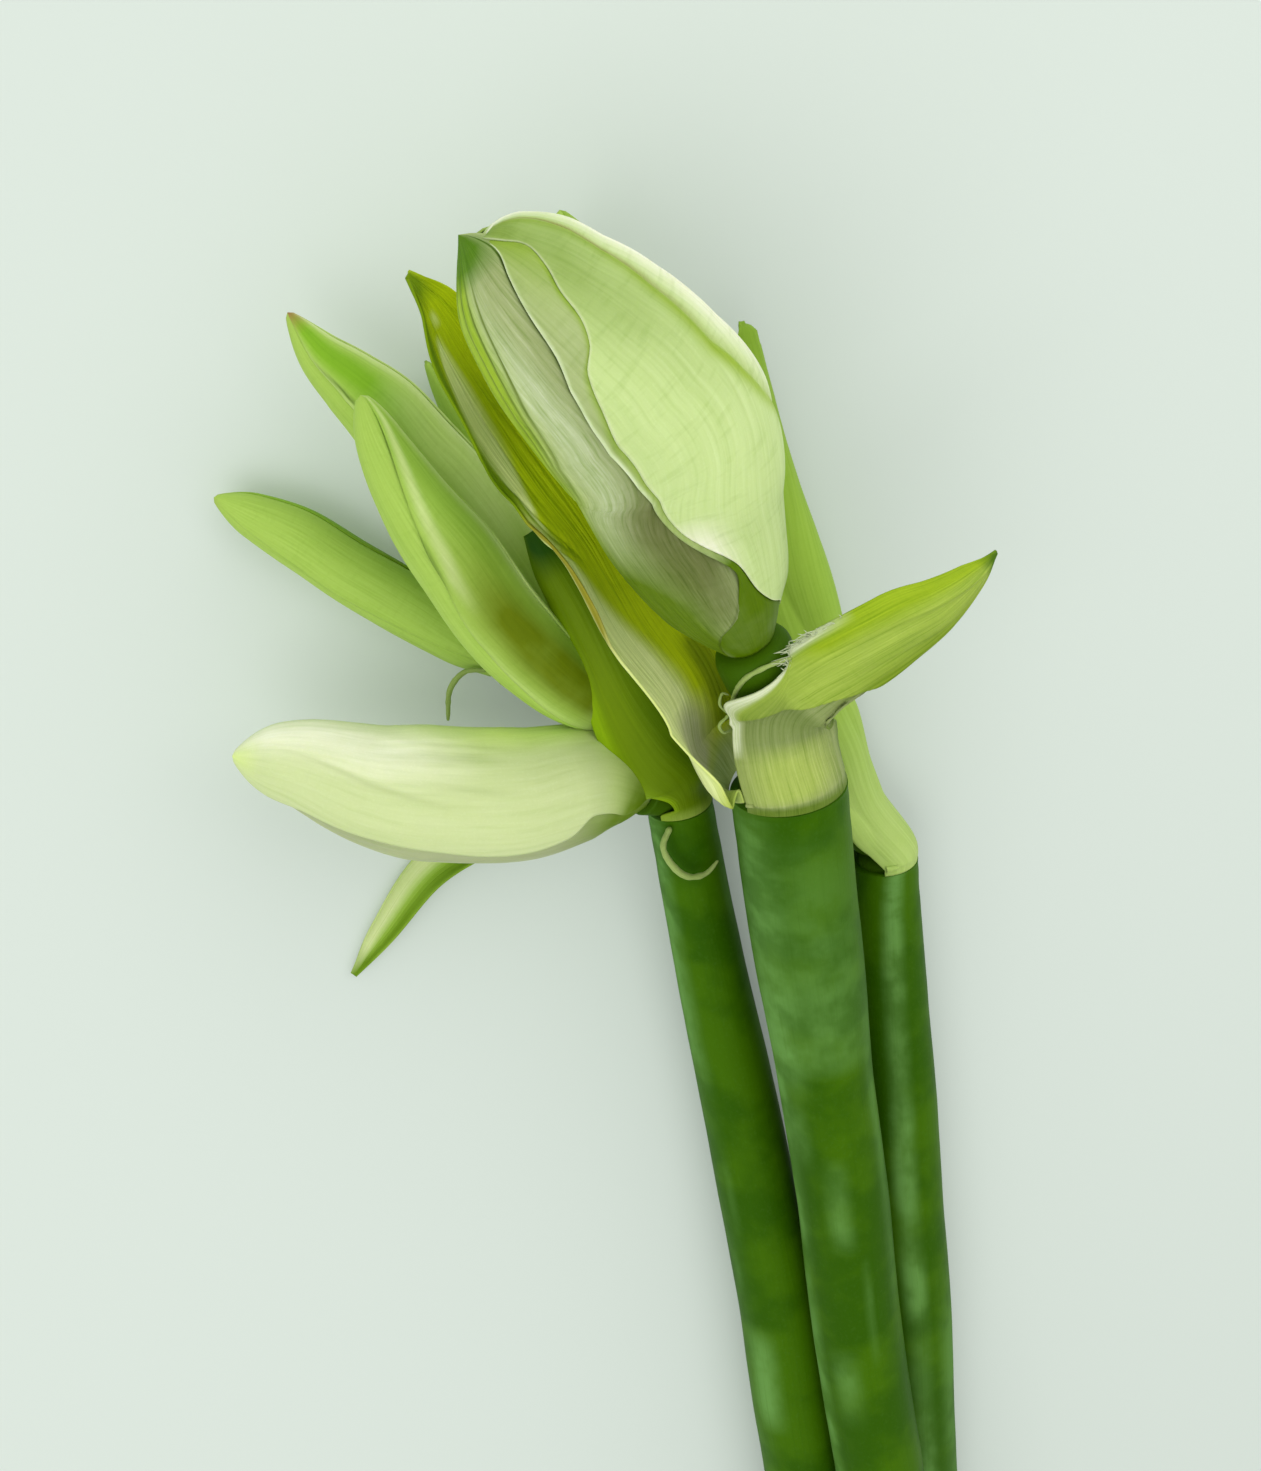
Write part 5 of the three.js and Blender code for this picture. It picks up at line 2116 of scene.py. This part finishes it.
    def bract_right_back(self) -> Bract:
        """The bract behind that bud.

        Returns:
            The bract, rising from the right scape's rim.
        """
        return Bract(
            "bract_right_back",
            rim_stations(self.right_scape, -140, 60)
            + [
                Station((26, 112, 7.5), (-0.6, -0.1, -0.8), 10.5, 110),
                Station((17, 131, 5.5), (-0.6, -0.1, -0.8), 11, 115),
                Station((8, 148, 5), (-0.75, -0.15, -0.65), 12, 130),
                Station((0, 168, 5), (-0.75, -0.15, -0.65), 12.5, 130),
                Station((-7, 188, 5), (-0.75, -0.15, -0.65), 12.5, 130),
                Station((-14, 208, 6), (-0.75, -0.1, -0.6), 11.5, 130),
                Station((-17, 227, 7), (-0.75, 0, -0.6), 8.5, 120),
                Station((-14, 246, 10), (-0.75, 0, -0.6), 1, 60),
            ],
            GREEN_BRACT, 0.4, 5, [self.sheathed, self.sheathed_stalk, self.back_stalk],
            ribs=Ribs(0.1, 14.0),
        )

    def bracts(self) -> list[Bract]:
        """The two bracts of each stem.

        Returns:
            The six bracts.
        """
        return [
            self.bract_middle_left(), self.bract_middle_right(), self.bract_left_front(),
            self.bract_left_back(), self.bract_right_front(), self.bract_right_back(),
        ]

    def threads(self) -> list[Thread]:
        """The dry threads among the flowers.

        Returns:
            The threads, with the curl and the hook of the front one.
        """
        loop = Limb(
            [
                (-30.6, 121, 29.4), (-33, 116, 31.3), (-30, 110, 32.5), (-26, 107, 32.5),
                (-21, 107, 31.5), (-17, 110, 30),
            ],
            ((0, 0.8), (0.5, 1), (1, 0.5)),
        )
        front = Limb(
            [
                (-21, 161, 54), (-22, 168, 60), (-21, 175, 67), (-17, 178, 69),
                (-13.5, 179.5, 69.8), (-10.5, 180.5, 70.2),
            ],
            ((0, 0.5), (0.5, 0.7), (1, 0.5)),
        )
        curl = Limb(
            [(-21, 158, 56), (-23.5, 157.5, 57), (-25, 160, 58), (-23, 162.5, 58.5), (-21.8, 165, 59)],
            ((0, 0.3), (0.5, 0.45), (1, 0.3)),
        )
        hook = Limb(
            [(-23, 163, 57.5), (-25, 165.5, 58), (-24.5, 168.5, 58.5), (-22.8, 168, 58.5)],
            ((0, 0.3), (0.5, 0.4), (1, 0.2)),
        )
        left = Limb(
            [(-78, 165, 16.4), (-84, 165, 17), (-88, 161, 18), (-89, 152, 18)],
            ((0, 0.6), (0.5, 0.8), (1, 0.5)),
        )
        return [
            Thread("thread_loop", loop, THREAD_FIBRE),
            Thread("thread_front", front, THREAD_FIBRE),
            Thread("thread_front", curl, THREAD_FIBRE, "curl"),
            Thread("thread_front", hook, THREAD_FIBRE, "hook"),
            Thread("thread_left", left, THREAD_FIBRE),
        ]

    def extras(self) -> list[Fringe]:
        """The torn margin of the folded bract."""
        return [Fringe(self.bract_middle_right(), 0.4, 0.6)]

    def build(self) -> None:
        """Makes every piece of the bunch."""
        for part in (*self.stems(), *self.buds(), *self.bracts(), *self.threads(), *self.extras()):
            part.build()


@dataclass(frozen=True)
class Studio:
    """The floor, the soft lights and the camera, which looks down on the bunch."""

    pitch: float = 20.0
    yaw: float = 12.0
    camera_at: Point = (-131.2, 305.0, 450.4)
    focal_pixels: float = 1720.0
    sensor_mm: float = 36.0
    floor_size: float = 4.0
    floor_drop: float = 0.0003
    aim: Point = (-0.03, 0.12, 0.03)
    sky: str = "f0f2ea"
    sky_strength: float = 0.8

    def lay_floor(self) -> None:
        """Lays the floor just below the bunch."""
        shape = bmesh.new()
        bmesh.ops.create_grid(shape, x_segments=1, y_segments=1, size=self.floor_size / 2)
        bmesh.ops.translate(shape, verts=shape.verts, vec=(0.0, 0.0, -self.floor_drop))
        mesh = bpy.data.meshes.new("floor")
        shape.to_mesh(mesh)
        shape.free()
        mesh.materials.append(material_of(FloorFinish()))
        floor = bpy.data.objects.new("floor", mesh)
        bpy.context.scene.collection.objects.link(floor)

    def set_camera(self) -> None:
        """Sets the camera at the photograph's angle."""
        pitch = math.radians(self.pitch)
        yaw = math.radians(self.yaw)
        look = Vector(
            (math.sin(yaw) * math.cos(pitch), -math.sin(pitch), -math.cos(yaw) * math.cos(pitch))
        )
        up = (Vector((0, 1, 0)) - look * look.y).normalized()
        right = look.cross(up)
        data = bpy.data.cameras.new("camera")
        data.sensor_width = self.sensor_mm
        data.lens = self.sensor_mm * self.focal_pixels / max(PHOTO_SIZE)
        data.clip_start = 0.01
        data.clip_end = 20.0
        camera = bpy.data.objects.new("camera", data)
        bpy.context.scene.collection.objects.link(camera)
        turn = Matrix((right, up, -look)).transposed().to_4x4()
        camera.matrix_world = Matrix.Translation(Vector(self.camera_at) * MM) @ turn
        bpy.context.scene.camera = camera

    def add_light(self, name: str, at: Point, size: float, power: float, colour: str) -> None:
        """Adds a soft square light that looks at the flowers.

        Args:
            name: The light's name.
            at: Its place in metres.
            size: Its side in metres.
            power: Its power in watts.
            colour: Its colour.
        """
        data = bpy.data.lights.new(name, "AREA")
        data.size = size
        data.energy = power
        data.color = linear(colour)[:3]
        light = bpy.data.objects.new(name, data)
        bpy.context.scene.collection.objects.link(light)
        light.location = at
        aim = Vector(self.aim) - Vector(at)
        light.rotation_mode = "QUATERNION"
        light.rotation_quaternion = aim.to_track_quat("-Z", "Y")

    def light_it(self) -> None:
        """Sets the soft studio light and the colours' plain rendering."""
        world = bpy.data.worlds.new("studio")
        world.use_nodes = True
        background = world.node_tree.nodes["Background"]
        background.inputs["Color"].default_value = linear(self.sky)
        background.inputs["Strength"].default_value = self.sky_strength
        bpy.context.scene.world = world
        self.add_light("key", (0.35, 1.0, 0.75), 1.4, 6.5, "fffdf6")
        self.add_light("fill", (-0.7, -0.1, 1.1), 1.0, 5.5, "fffff8")
        bpy.context.scene.view_settings.view_transform = "Standard"

    def build(self) -> None:
        """Makes the floor, the camera and the lights."""
        self.lay_floor()
        self.set_camera()
        self.light_it()


def main() -> None:
    """Builds the studio and the bunch."""
    logging.basicConfig(level=logging.INFO, format="%(message)s")
    Studio().build()
    Bunch().build()


if __name__ == "__main__":
    main()
